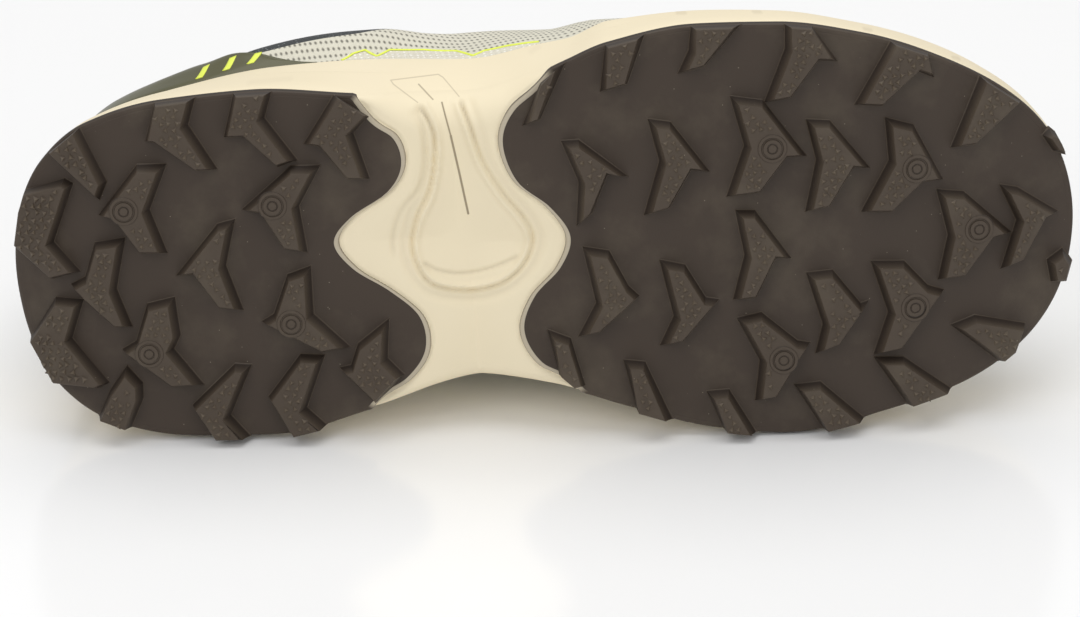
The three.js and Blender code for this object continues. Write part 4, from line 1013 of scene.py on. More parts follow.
@dataclass(frozen=True)
class UpperCloth(Textile):
    """The upper's cloth: pale open mesh, a printed band with dots along the sole and a dark cuff.

    The attribute "above" holds millimetres above the bright line, under which the band lies, and
    "cuff" is over a half where the dark knit of the ankle shows.
    """

    name: str = "open_mesh"
    tint: str = "#E4E0CF"
    hollow: str = "#7E7B70"
    roughness: float = 0.85
    weave: Weave = Weave.OPEN_MESH
    pitch: tuple[float, float] = (3.0, 3.0)
    crown: float = -0.2
    band: str = "#D9D4C4"
    dot: str = "#F4F2EA"
    cuff: str = "#3E4142"
    cuff_high: str = "#7C8080"

    def make(self) -> bpy.types.Material:
        """Builds the material: the mesh first, then the band and the cuff laid over it."""
        material, tree, shader = self.start()
        cloth = self.dress(tree, shader)
        uv = add(tree, "ShaderNodeUVMap", {"uv_map": "Surface"}).outputs[0]
        spots = add(tree, "ShaderNodeTexVoronoi", {"Scale": 560.0, "Randomness": 0.2}, {"Vector": uv})
        dots = add(tree, "ShaderNodeMapRange", {1: 0.24, 2: 0.16, 3: 0.0, 4: 1.0}, {0: spots.outputs["Distance"]})
        print_ = add(tree, "ShaderNodeMix", {"data_type": "RGBA", 6: colour(self.band), 7: colour(self.dot)},
                     {0: dots.outputs[0]})
        above = add(tree, "ShaderNodeAttribute", {"attribute_name": "above"}).outputs["Fac"]
        within = add(tree, "ShaderNodeMapRange",
                     {1: 0.0, 2: 0.3, 3: 1.0, 4: 0.0}, {0: above})
        banded = add(tree, "ShaderNodeMix", {"data_type": "RGBA"},
                     {0: within.outputs[0], 6: cloth, 7: print_.outputs[2]})
        yarn = add(tree, "ShaderNodeTexVoronoi", {"Scale": 900.0, "Randomness": 0.6}, {"Vector": uv})
        glint = add(tree, "ShaderNodeMapRange", {1: 0.3, 2: 0.12, 3: 0.0, 4: 1.0}, {0: yarn.outputs["Distance"]})
        knit = add(tree, "ShaderNodeMix", {"data_type": "RGBA", 6: colour(self.cuff), 7: colour(self.cuff_high)},
                   {0: glint.outputs[0]})
        cuff = add(tree, "ShaderNodeAttribute", {"attribute_name": "cuff"}).outputs["Fac"]
        edge = add(tree, "ShaderNodeMapRange", {1: 0.48, 2: 0.52, 3: 0.0, 4: 1.0}, {0: cuff})
        whole = add(tree, "ShaderNodeMix", {"data_type": "RGBA"},
                    {0: edge.outputs[0], 6: banded.outputs[2], 7: knit.outputs[2]})
        tree.links.new(whole.outputs[2], shader.inputs["Base Color"])
        return material


@dataclass(frozen=True)
class Film(Finish):
    """Glossy polyurethane film bonded over the mesh: olive, with the cloth's grain faint in it."""

    name: str = "gloss_film"
    tint: str = "#585630"
    deep: str = "#3D3C22"
    roughness: float = 0.4
    settings: tuple[tuple[str, float], ...] = (("Coat Weight", 0.2), ("Coat Roughness", 0.2))

    def make(self) -> bpy.types.Material:
        """Builds the material."""
        material, tree, shader = self.start()
        place = add(tree, "ShaderNodeTexCoord").outputs["Object"]
        slow = add(tree, "ShaderNodeTexNoise", {"Scale": 40.0, "Detail": 4.0}, {"Vector": place})
        body = add(tree, "ShaderNodeMix", {"data_type": "RGBA", 6: colour(self.tint), 7: colour(self.deep)},
                   {0: slow.outputs["Fac"]})
        tree.links.new(body.outputs[2], shader.inputs["Base Color"])
        grain = add(tree, "ShaderNodeTexVoronoi", {"Scale": 1100.0}, {"Vector": place})
        bump = add(tree, "ShaderNodeBump", {"Strength": 0.18, "Distance": 0.08 * MM},
                   {"Height": grain.outputs["Distance"]})
        tree.links.new(bump.outputs[0], shader.inputs["Normal"])
        return material


@dataclass(frozen=True)
class Print(Finish):
    """Printed ink or enamel: an even colour with a faint orange peel."""

    peel: float = 0.8

    def make(self) -> bpy.types.Material:
        """Builds the material."""
        material, tree, shader = self.start()
        place = add(tree, "ShaderNodeTexCoord").outputs["Object"]
        fine = add(tree, "ShaderNodeTexNoise", {"Scale": 1 / (self.peel * MM), "Detail": 2.0}, {"Vector": place})
        bump = add(tree, "ShaderNodeBump", {"Strength": 0.2, "Distance": 0.05 * MM}, {"Height": fine.outputs["Fac"]})
        tree.links.new(bump.outputs[0], shader.inputs["Normal"])
        return material


class Workshop:
    """What every sub-assembly shares: the last, the placement, the sight and the finishes."""

    def __init__(self, frame: dict) -> None:
        """Takes the placement from the frame and makes the materials once."""
        self.last = Last()
        self.placement = Placement.from_frame(frame)
        self.sight = Sight()
        sheen = (("Sheen Weight", 0.3), ("Sheen Roughness", 0.5))
        self.foam = Foam().make()
        self.rubber = Rubber().make()
        self.cloth = UpperCloth().make()
        self.film = Film().make()
        self.welded = Film("welded_film", "#4A4C30", 0.45, deep="#34361F").make()
        self.knit = Textile("padded_knit", "#4B4E4F", 0.92, sheen, Weave.KNIT, "#1C1D1E", (1.1, 1.4), 0.2).make()
        self.lining = Textile("lining_mesh", "#5A5D5C", 0.92, sheen, Weave.OPEN_MESH, "#222323", (2.0, 2.0), 0.2).make()
        self.felt = Textile("top_cloth", "#55564F", 0.95, sheen, Weave.KNIT, "#33342F", (0.9, 0.9), 0.12).make()
        self.braid = Textile("flat_lace", "#DDE86A", 0.75, sheen, Weave.BRAID, "#8C9638", (1.3, 1.1), 0.25).make()
        self.ink = Print("bright_ink", "#E6F25A", 0.45).make()
        self.enamel = Print("enamel", "#5C5F5E", 0.35, (("Metallic", 0.6), ("Coat Weight", 0.3))).make()

    def chart(self, pixels: Sequence, depth: float = 0.0) -> Array:
        """Charted pixels to x and z of the standing shoe, at a depth behind the curved tread."""
        flat = self.sight.on_sole(pixels, depth)
        return self.sight.on_sole(pixels, depth + self.last.tread(np.clip(flat[:, 0] / LENGTH, 0, 1)))

    def finish(self, piece: bpy.types.Object, material: bpy.types.Material, slot: str, *nodes: str) -> bpy.types.Object:
        """Dresses a piece, sets it on the shoe's body and has it stand for its solids."""
        piece.data.materials.clear()
        piece.data.materials.append(material)
        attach(piece, BODY)
        if nodes:
            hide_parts(*nodes)
        LOG.info("%s: %d faces", piece.name, len(piece.data.polygons))
        return piece


@dataclass
class Midsole:
    """The foam body: a fine underside with the marks of the waist, a stepped wall and a cup."""

    shop: Workshop
    waist: tuple[float, float] = (88.0, 172.0)
    fine: float = 0.5
    across: int = 170
    rows: int = 56
    pods: tuple["Pod", ...] = ()

    def ways(self) -> Array:
        """Ways round a side: fine steps over the waist and coarse ones before and after it."""
        low, high = way_round(np.array(self.waist) / LENGTH)
        count = int((self.waist[1] - self.waist[0]) / self.fine)
        middle = way_round(np.linspace(*self.waist, count) / LENGTH)
        return np.concatenate([np.linspace(0, low, 60)[:-1], middle, np.linspace(high, 1, 90)[1:]])

    def edge_round(self, at: Array, side: int) -> Array:
        """Radius of the lower edge: wide at the waist, most of all on the outer side (1)."""
        return 1.0 + (8.0 if side > 0 else 2.0) * smoothstep(at, 0.33, 0.39) * (1 - smoothstep(at, 0.47, 0.53))

    def hollow(self, x: Array, z: Array, at: Array) -> Array:
        """Depth of the hollow of the waist, which fades out towards the pods."""
        xz = np.stack([x.ravel(), z.ravel()], axis=1)
        gap = np.minimum(*(pod.distance(xz) for pod in self.pods)).reshape(x.shape)
        return self.shop.last.arch(at) * smoothstep(gap, 1.0, 22.0)

    def floor(self, at: Array) -> Array:
        """Height of the foam's underside without its hollow and marks."""
        return self.shop.last.tread(at) + LUG_HEIGHT + WAIST_RECESS

    def marks(self, points: Array) -> tuple[Array, Array]:
        """Relief of the moulded marks at points of the foam, as they lie in the picture, and painted shade in their
        troughs.

        They are troughs beside ridges: sums of Gaussian bells of the distance to their paths. The
        narrow marks are left to the material.

        Returns:
            Depth into the foam in millimetres and the painted shade from 0 to 1.
        """
        scale = self.shop.sight.scale
        spots = self.shop.sight.seen(points).reshape(-1, 2)
        path = lambda chart, count: spline(np.array(chart) / scale, count)
        far, side, share = distance_to(spots, path(BULB, 120))
        inside = -far * side
        fade = smoothstep(share, 0.0, 0.02) * (1 - smoothstep(share, 0.98, 1.0))
        high = smoothstep(165 / scale - spots[:, 1], 0, 60 / scale)
        bell = lambda centre, width: np.exp(-(((inside - centre) / width) ** 2))
        relief = fade * (1.0 * bell(0.0, 0.65) - 0.8 * bell(1.5, 0.8) + 0.6 * bell(-2.2, 1.3))
        # Painted shade in the troughs: along the loop, more towards the top of the picture, in the wide trough outside
        # its lower part, and along the two short troughs
        dirt_and_shade = fade * ((0.13 + 0.32 * high) * bell(0.0, 0.5) + 0.1 * bell(-2.0, 1.0) * (1 - high))
        for line, deep, wide, soil_and_shade in ((path(BULB_SHADOW, 50), 0.55, 0.8, 0.14), (path(BULB_ARC, 50), 0.6, 0.6, 0.16)):
            far, _, share = distance_to(spots, line)
            ends = smoothstep(share, 0.0, 0.05) * (1 - smoothstep(share, 0.9, 1.0))
            relief += ends * deep * np.exp(-((far / wide) ** 2))
            dirt_and_shade = np.maximum(dirt_and_shade, ends * soil_and_shade * np.exp(-((far / (wide * 0.9)) ** 2)))
        return relief.reshape(points.shape[:-1]), dirt_and_shade.reshape(points.shape[:-1])

    def underside(self, ways: Array) -> tuple[Array, Array]:
        """Grid of the underside from the inner edge to the outer one, and the painted shade of its marks.

        Its edges are rounded as quarters of an ellipse, with columns at even turns of it.
        """
        last = self.shop.last
        xo, zo, nx, nz, at = last.outline(ways, 0.0)
        xi, zi, *_ = last.outline(2 - ways, 0.0)
        width = (zo - zi)[:, None]
        inner, outer = (self.edge_round(at, side)[:, None] for side in (-1, 1))
        first, last_ = (np.minimum(r / np.maximum(width, 1e-6), 0.45) for r in (inner, outer))
        turn_in, turn_out = np.linspace(np.pi / 2, 0, 8)[:-1], np.linspace(0, np.pi / 2, 20)[1:]
        even = np.linspace(0, 1, self.across - len(turn_in) - len(turn_out))
        c = np.concatenate([first * (1 - np.sin(turn_in)), first + (1 - first - last_) * even,
                            1 - last_ * (1 - np.sin(turn_out))], axis=1)
        x = xi[:, None] * (1 - c) + xo[:, None] * c
        z = zi[:, None] * (1 - c) + zo[:, None] * c
        edge = np.minimum(c, 1 - c) * width
        rise = np.concatenate([inner * (1 - np.cos(turn_in)), 0 * first * even, outer * (1 - np.cos(turn_out))], axis=1)
        y = self.floor(at)[:, None] + rise
        xz = np.stack([x.ravel(), z.ravel()], axis=1)
        gap = np.minimum(*(pod.distance(xz) for pod in self.pods)).reshape(x.shape)
        y = y + self.hollow(x, z, at[:, None])
        y = y + 2.4 * smoothstep(-gap, 0.6, 2.2) * smoothstep(edge, 0.5, 2.5)
        y = y + 0.35 * np.exp(-(((gap - 0.25) / 0.3) ** 2)) * smoothstep(edge, 0.0, 3.0)
        inside = (x > self.waist[0]) & (x < self.waist[1])
        relief, dirt_and_shade = np.zeros(x.shape), np.zeros(x.shape)
        relief[inside], dirt_and_shade[inside] = self.marks(np.stack([x, y, z], axis=-1)[inside])
        lean = np.concatenate([0 * turn_in, 0 * even, np.sin(turn_out)])[None, :] * relief
        upright = np.sqrt(np.maximum(relief**2 - lean**2, 0)) * np.sign(relief)
        return np.stack([x - nx[:, None] * lean, y + upright, z - nz[:, None] * lean], axis=-1), dirt_and_shade

    def wall_rows(self) -> Array:
        """Profile of the wall: level and how far it stands out, smooth between the turns."""
        turns = [(0.0, 0.0), (0.10, 0.75), (0.22, WALL_BULGE), (0.45, WALL_BULGE), (0.555, WALL_BULGE * 0.95),
                 (0.575, WALL_BULGE - WALL_STEP), (0.60, WALL_BULGE - WALL_STEP), (0.80, 0.15), (0.94, 0.0),
                 (0.985, -0.25), (1.0, -LIP_ROUND), (1.0, -LIP_THICKNESS * 0.7), (0.985, -LIP_THICKNESS)]
        return np.array(turns)

    def build(self) -> bpy.types.Object:
        """Builds the whole closed body as grids that share their edges."""
        last, ways = self.shop.last, self.ways()
        sight = self.shop.sight
        # The attribute "line" carries the painted shade of the marks' troughs, on the underside here and on the outer
        # wall below
        under, dirt_and_shade = self.underside(ways)
        plan = Plan("midsole_foam")
        plan.grid(under, uv=sight.seen(under), line=dirt_and_shade)
        profile = self.wall_rows()
        floors = []
        for around, count, side in ((ways, self.rows, 1), (2 - ways, self.rows // 2, -1)):
            spots = np.linspace(0, len(profile) - 1, count + 1)
            rows, outs = (np.interp(spots, np.arange(len(profile)), profile[:, k])[:, None] for k in (0, 1))
            at = length_at(1 - np.abs(1 - around))[None, :]
            plain = smoothstep(at, 0.30, 0.37) * (1 - smoothstep(at, 0.52, 0.60))
            level = rows + 0.5 * rows * (1 - rows) * plain
            x, z, nx, nz, at = last.outline(around[None, :], level, -np.where(outs > 0, outs * (1 - plain), outs))
            foot_x, foot_z, *_, foot_at = last.outline(around, 0.0)
            low = self.floor(at) + self.edge_round(at, side) + self.hollow(foot_x, foot_z, foot_at)
            y = low + (last.wall(at) - low) * rows
            wall = np.stack([x, y, z], axis=-1)
            xi, zi, *_, at = last.outline(around, 1.0, LIP_THICKNESS)
            cup = np.stack([xi, last.stack(at), zi], axis=-1)
            dirt_and_shade = np.zeros((count + 2, len(around)))
            uv = np.zeros((count + 2, len(around), 2))
            if side > 0:
                uv[:-1] = sight.seen(wall)
                near = (x > self.waist[0]) & (x < self.waist[1]) & (rows < 0.97)
                relief, dirt_and_shade[:-1][near] = self.marks(wall[near])
                wall[near] -= relief[:, None] * np.stack([nx, np.zeros_like(nx), nz], axis=-1)[near]
            plan.grid(np.concatenate([wall, cup[None]]), flip=side < 0, uv=uv, line=dirt_and_shade)
            floors.append(cup)
        c = np.linspace(0, 1, 12)[:, None, None]
        base = floors[0] * (1 - c) + floors[1] * c
        plan.grid(base, line=0.0)
        piece = plan.build(self.shop.placement, merge=0.01, sharp=50)
        return self.shop.finish(piece, self.shop.foam, "midsole", "midsole")


@dataclass
class Pod:
    """One rubber pod of the tread with its lugs: a star-shaped plan round a middle point."""

    shop: Workshop
    name: str
    node: str
    edge: Array
    middle: tuple[float, float]
    facing: float
    lugs: tuple[Lug, ...]
    rays: int = 540
    overhang: float = 0.5
    lean: float = 0.55

    def __post_init__(self) -> None:
        """Works out the waist edge and the radius of the plan for each direction."""
        self.waist_edge = spline(self.edge * (LENGTH, WAIST_WIDTH), 240)
        x, z, *_ = self.shop.last.outline(np.linspace(0, 2, 1440, endpoint=False), 0.0, -self.overhang)
        self.angles = np.linspace(-np.pi, np.pi, self.rays, endpoint=False)
        whole = self.polar(np.stack([x, z], axis=1))
        cut = self.polar(self.waist_edge)
        outer = np.interp(self.angles, whole[:, 0], whole[:, 1], period=2 * np.pi)
        inner = np.interp(self.angles, cut[:, 0], cut[:, 1], left=np.inf, right=np.inf)
        self.radius = np.minimum(outer, inner)
        self.at_waist = smoothstep(outer - inner, -0.3, 1.2)

    def polar(self, xz: Array) -> Array:
        """Angles from the pod's facing, in rising order, with their distances from the middle."""
        rel = (xz - self.middle) * (self.facing, self.facing)
        angle = np.arctan2(rel[:, 1], rel[:, 0])
        order = angle.argsort()
        return np.stack([angle, np.hypot(rel[:, 0], rel[:, 1])], axis=1)[order]

    def distance(self, xz: Array) -> Array:
        """Signed distance to the waist edge: negative over the pod."""
        far = distance_to(xz, self.waist_edge)[0]
        rel = (xz - self.middle) * (self.facing, self.facing)
        angle = np.arctan2(rel[:, 1], rel[:, 0])
        cut = self.polar(self.waist_edge)
        reach = np.interp(angle, cut[:, 0], cut[:, 1], left=1e4, right=1e4)
        return np.where(np.hypot(rel[:, 0], rel[:, 1]) < reach, -far, far)

    def base(self) -> Plan:
        """The pod's sheet: rings round its middle with a rounded edge, a side and an underside."""
        # Rows inwards from the outline: drawn in, fall, pale rim, and painted shade on a dark line inside the rim at
        # the waist and on the pod's whole side
        edge = np.array([(2.0, 0.0, 0.0, 0.0), (1.75, 0.0, 0.0, 0.3), (1.6, 0.06, 0.0, 1.0), (1.42, 0.02, 1.0, 0.2),
                         (0.9, 0.06, 1.0, 0.0), (0.4, 0.2, 1.0, 0.0), (0.12, 0.55, 0.6, 0.3), (0.0, 1.2, 0.0, 1.0),
                         (0.0, POD_THICKNESS, 0.0, 1.0), (0.1, POD_THICKNESS + 0.4, 0.0, 0.0)])
        drawn_in, fall, pale, dark = edge.T
        inner = np.linspace(0, 1, 26)[:-1]
        r = np.concatenate([inner[:, None] * (self.radius - 2.4), self.radius - drawn_in[:, None],
                            [self.radius * 0.5], [self.radius * 0.0]])
        falls = np.concatenate([np.zeros(len(inner)), fall, [fall[-1]] * 2])
        pales = np.concatenate([np.zeros(len(inner)), pale, [0.0, 0.0]])
        edge_shade = np.concatenate([np.zeros(len(inner)), dark, [0.0, 0.0]])[:, None]
        x = self.middle[0] + self.facing * r * np.cos(self.angles)
        z = self.middle[1] + self.facing * r * np.sin(self.angles)
        y = self.shop.last.tread(np.clip(x / LENGTH, 0, 1)) + LUG_HEIGHT + falls[:, None]
        # Painted shade on the pod's side all round, and on the line inside the rim only at the waist
        wall = np.where(falls[:, None] > 1.0, edge_shade, edge_shade * self.at_waist)
        plan = Plan(self.name)
        plan.grid(np.stack([x, y, z], axis=-1), wrap=True, wall=wall, top=0.0, rim=pales[:, None] * self.at_waist)
        return plan

    @staticmethod
    def drawn(corners: Array, inward: float) -> Array:
        """An outline with its sides moved inwards: each corner along the mitre of its two sides."""
        before, after = unit(corners - np.roll(corners, 1, axis=0)), unit(np.roll(corners, -1, axis=0) - corners)
        n0 = np.stack([-before[:, 1], before[:, 0]], axis=1)
        n1 = np.stack([-after[:, 1], after[:, 0]], axis=1)
        mitre = unit(n0 + n1)
        reach = np.clip(1 / np.maximum((mitre * n0).sum(axis=1), 0.35), 1, 2.4 if inward > 0 else 1.3)
        return corners + mitre * (inward * reach)[:, None]

    def within(self, xz: Array, margin: float, push: bool = False) -> Array:
        """Points kept inside the pod's outline by a margin; with push, those near it go out past it."""
        rel = xz - self.middle
        far = np.hypot(rel[:, 0], rel[:, 1])
        angle = np.arctan2(rel[:, 1] * self.facing, rel[:, 0] * self.facing)
        limit = np.interp(angle, self.angles, self.radius, period=2 * np.pi)
        waist = np.interp(angle, self.angles, self.at_waist, period=2 * np.pi)
        if push:
            near = (far > limit - 3.2) & (waist < 0.5)
            return np.where(near[:, None], self.middle + rel * ((limit + 4.0) / far)[:, None], xz)
        return self.middle + rel * np.minimum(1, (limit - margin - 0.5 * waist) / far)[:, None]

    def lug(self, plan: Plan, lug: Lug) -> Array:
        """Adds a lug: rings from its top down its tapered flank into the sheet, both ends closed.

        Returns:
            The outline of its foot, anticlockwise.
        """
        corners = self.shop.chart(lug.corners, LUG_HEIGHT)
        x, z = corners[:, 0], corners[:, 1]
        if (x * np.roll(z, -1) - np.roll(x, -1) * z).sum() < 0:
            corners = corners[::-1]
        if not lug.proud:
            corners = self.within(corners, 0.0, push=True)
        # Rings: drawn in, depth, painted shade on the flank, and top, which pales the tread as rubbed wear and draws
        # painted highlight along its edge and its foot
        steps = ((1.75, 0.0, 0.0, 0.3), (1.5, 0.05, 0.0, 0.3), (1.32, 0.3, 0.15, 0.5), (0.2, 4.0, 1.0, 0.0),
                 (0.0, 4.4, 0.1, 0.5), (-0.35, 4.62, 0.0, 0.3), (-0.35, 5.6, 0.0, 0.0))
        rings = []
        for inward, deep, *_ in steps:
            ring = self.drawn(corners, inward)
            ring[:, 0] -= self.facing * self.lean * (1 - min(deep / LUG_HEIGHT, 1))
            ring = self.within(ring, 0.15 + 0.3 * (deep < 0.2) - lug.proud)
            height = self.shop.last.tread(np.clip(ring[:, 0] / LENGTH, 0, 1)) + deep
            rings.append(np.stack([ring[:, 0], height, ring[:, 1]], axis=-1))
        n, start = len(corners), plan.count
        walls, tops = np.array(steps)[:, 2:3], np.array(steps)[:, 3:4]
        plan.grid(np.stack(rings), wrap=True, wall=walls, top=tops, rim=0.0)
        foot = start + (len(steps) - 1) * n
        plan.caps.append(np.arange(start, start + n)[::-1])
        plan.caps.append(np.arange(foot, foot + n))
        return corners

    def studs(self, plan: Plan) -> None:
        """Adds the ringed bosses: a profile of radius, height and painted shade on its steps, turned about each axis.
        """
        profile = np.array([(0.0, -0.42, 0.0), (1.1, -0.42, 0.0), (1.25, -0.2, 0.6), (1.45, -0.2, 0.6),
                            (1.6, -0.42, 0.0), (2.55, -0.42, 0.0), (2.7, 0.05, 0.9), (3.0, 0.05, 0.9),
                            (3.2, -0.24, 0.0), (3.95, -0.24, 0.0), (4.15, 0.05, 0.8), (4.3, 0.1, 0.8),
                            (4.3, 0.8, 0.0), (0.0, 0.8, 0.0)])
        spots = [lug.stud for lug in self.lugs if lug.stud]
        if not spots:
            return
        turn = np.linspace(0, 2 * np.pi, 40, endpoint=False)
        for x0, z0 in self.shop.chart(spots):
            x = x0 + profile[:, :1] * np.cos(turn)
            z = z0 + profile[:, :1] * np.sin(turn)
            x = x - self.facing * self.lean
            y = self.shop.last.tread(np.clip(x / LENGTH, 0, 1)) + profile[:, 1:2]
            plan.grid(np.stack([x, y, z], axis=-1), wrap=True, wall=profile[:, 2:], top=0.3, rim=0.0)

    def grip(self, plan: Plan, tops: Sequence[Array]) -> None:
        """Adds the small three-sided pyramids that roughen the lugs' tops.

        They stand on a triangular lattice, turned up and down by turns, and each keeps clear of
        its lug's edge and of the studs.
        """
        pitch, size, high = 2.35, 1.3, 0.62
        rng = np.random.default_rng(SEED)
        x, z = np.meshgrid(np.arange(-6, LENGTH + 6, pitch), np.arange(-70, 72, pitch * 0.866), indexing="ij")
        x = x + (np.arange(x.shape[1]) % 2)[None, :] * pitch / 2
        spots = np.stack([x.ravel(), z.ravel()], axis=1) + rng.uniform(-0.3, 0.3, (x.size, 2))
        flip = np.tile(np.arange(x.shape[1]) % 2, x.shape[0])
        keep = np.zeros(len(spots), dtype=bool)
        for corners in tops:
            inner = self.within(self.drawn(corners, 2.25), 1.0) - (self.facing * self.lean, 0.0)
            a, b = inner, np.roll(inner, -1, axis=0)
            rise = (a[:, 1] > spots[:, None, 1]) != (b[:, 1] > spots[:, None, 1])
            with np.errstate(divide="ignore", invalid="ignore"):
                cut = (b[:, 0] - a[:, 0]) * (spots[:, None, 1] - a[:, 1]) / (b[:, 1] - a[:, 1]) + a[:, 0]
            keep |= (rise & (spots[:, None, 0] < cut)).sum(axis=1) % 2 == 1
        studs = [lug.stud for lug in self.lugs if lug.stud]
        for spot in self.shop.chart(studs) if studs else ():
            keep &= np.hypot(spots[:, 0] - spot[0] + self.facing * self.lean, spots[:, 1] - spot[1]) > 5.2
        keep &= rng.random(len(spots)) < 0.93
        spots, flip = spots[keep], flip[keep]
        size = size * rng.uniform(0.85, 1.05, len(spots))
        turn = np.pi * flip + rng.uniform(-0.35, 0.35, len(spots))
        angle = turn[:, None] + np.array([0, 2, 4]) * np.pi / 3
        ring_x = spots[:, :1] + size[:, None] * np.cos(angle)
        ring_z = spots[:, 1:] + size[:, None] * np.sin(angle)
        ground = self.shop.last.tread(np.clip(spots[:, 0] / LENGTH, 0, 1))
        ring = np.stack([ring_x, np.broadcast_to((ground + 0.1)[:, None], ring_x.shape), ring_z], axis=-1)
        apex = np.stack([spots[:, 0], ground - high, spots[:, 1]], axis=-1)[:, None]
        points = np.concatenate([ring, apex], axis=1)
        base = 4 * np.arange(len(spots))[:, None, None]
        faces = (base + np.array([(0, 1, 3), (1, 2, 3), (2, 0, 3), (2, 1, 0)])).reshape(-1, 3)
        # The attribute "top" paints a highlight on each apex and differs at the three base corners, so the faces look
        # lit from one side
        plan.add(points.reshape(-1, 3), faces, wall=0.0, top=np.tile([0.1, 0.2, 0.35, 1.5], len(spots)), rim=0.0)

    def build(self) -> bpy.types.Object:
        """Builds the pod with all its lugs as one piece."""
        plan = self.base()
        tops = [self.lug(plan, lug) for lug in self.lugs]
        self.studs(plan)
        self.grip(plan, tops)
        piece = plan.build(self.shop.placement, merge=0.004, sharp=28, recalc=True)
        return self.shop.finish(piece, self.shop.rubber, "outsole", self.node)


@dataclass(frozen=True)
class Crease:
    """A soft trough or ridge across the upper, placed one by one.

    around and share give its middle, long its half length and wide its half width in
    millimetres, deep its depth, and turn the angle of its run from the shoe's length.
    """

    around: float
    share: float
    long: float
    wide: float
    deep: float
    turn: float


CREASES = (
    Crease(0.66, 0.86, 26, 3.2, 0.9, 78), Crease(0.70, 0.84, 30, 3.6, 1.0, 84), Crease(0.745, 0.80, 26, 3.4, 0.7, 92),
    Crease(1.34, 0.86, 24, 3.2, 0.8, -78), Crease(1.30, 0.84, 28, 3.6, 0.9, -84), Crease(1.255, 0.80, 24, 3.4, 0.6, -92),
    Crease(0.33, 0.62, 22, 5.0, 1.2, 28), Crease(1.67, 0.62, 22, 5.0, 1.1, -28),
    Crease(0.43, 0.55, 26, 6.0, -0.8, 42), Crease(1.57, 0.55, 26, 6.0, -0.8, -42),
    Crease(0.39, 0.56, 38, 22.0, -5.6, 0), Crease(1.66, 0.56, 40, 22.0, -1.5, 0),
)


@dataclass
class Upper:
    """The mesh upper: one hollow wall, open at the collar, the throat and underneath."""

    shop: Workshop
    columns: int = 420
    rows: int = 64

    def build(self) -> bpy.types.Object:
        """Builds the wall as an outer and an inner grid with strips along their open edges."""
        last = self.shop.last
        around = np.linspace(0, 2, self.columns + 1)
        share = np.linspace(0, 1, self.rows + 1) ** 0.95
        a, s = np.meshgrid(around, share)
        outer, normal = last.worn(a, s)
        inner = outer - normal * UPPER_WALL
        along = np.concatenate([[0], np.cumsum(np.linalg.norm(np.diff(outer[self.rows // 3], axis=0), axis=1))])
        climb = np.concatenate([np.zeros((1, self.columns + 1)),
                                np.cumsum(np.linalg.norm(np.diff(outer, axis=0), axis=2), axis=0)])
        uv = np.stack([np.broadcast_to(along, a.shape), climb], axis=-1) * MM
        at = length_at(1 - np.abs(1 - np.mod(a, 2)))
        lip = last.wall(at)
        above = outer[..., 1] - lip - np.interp(outer[..., 0], *BRIGHT_LINE.T, left=-9.0, right=-9.0)
        below = climb[-1] - climb
        cuff_line = np.interp(outer[..., 0], *CUFF_EDGE.T)
        cuff = np.clip(0.5 + (cuff_line - below) / 4, 0, 1)
        plan = Plan("upper_mesh")
        marks = {"above": above, "cuff": cuff}
        plan.grid(outer, uv=uv, **marks)
        plan.grid(inner, flip=True, uv=uv, **marks)
        for row in (0, -1):
            open_ = np.ones(self.columns + 1, dtype=bool) if row == 0 else ~last.folded(around)
            runs = np.flatnonzero(open_[:-1] | open_[1:])
            strip = np.stack([outer[row], inner[row]])
            strip_marks = {k: np.stack([v[row], v[row]]) for k, v in marks.items()}
            for block in np.split(runs, np.flatnonzero(np.diff(runs) > 1) + 1):
                cut = slice(block[0], block[-1] + 2)
                plan.grid(strip[:, cut], uv=np.stack([uv[row, cut]] * 2), **{k: v[:, cut] for k, v in strip_marks.items()})
        piece = plan.build(self.shop.placement, merge=0.01)
        return self.shop.finish(piece, self.shop.cloth, "upper", "upper")


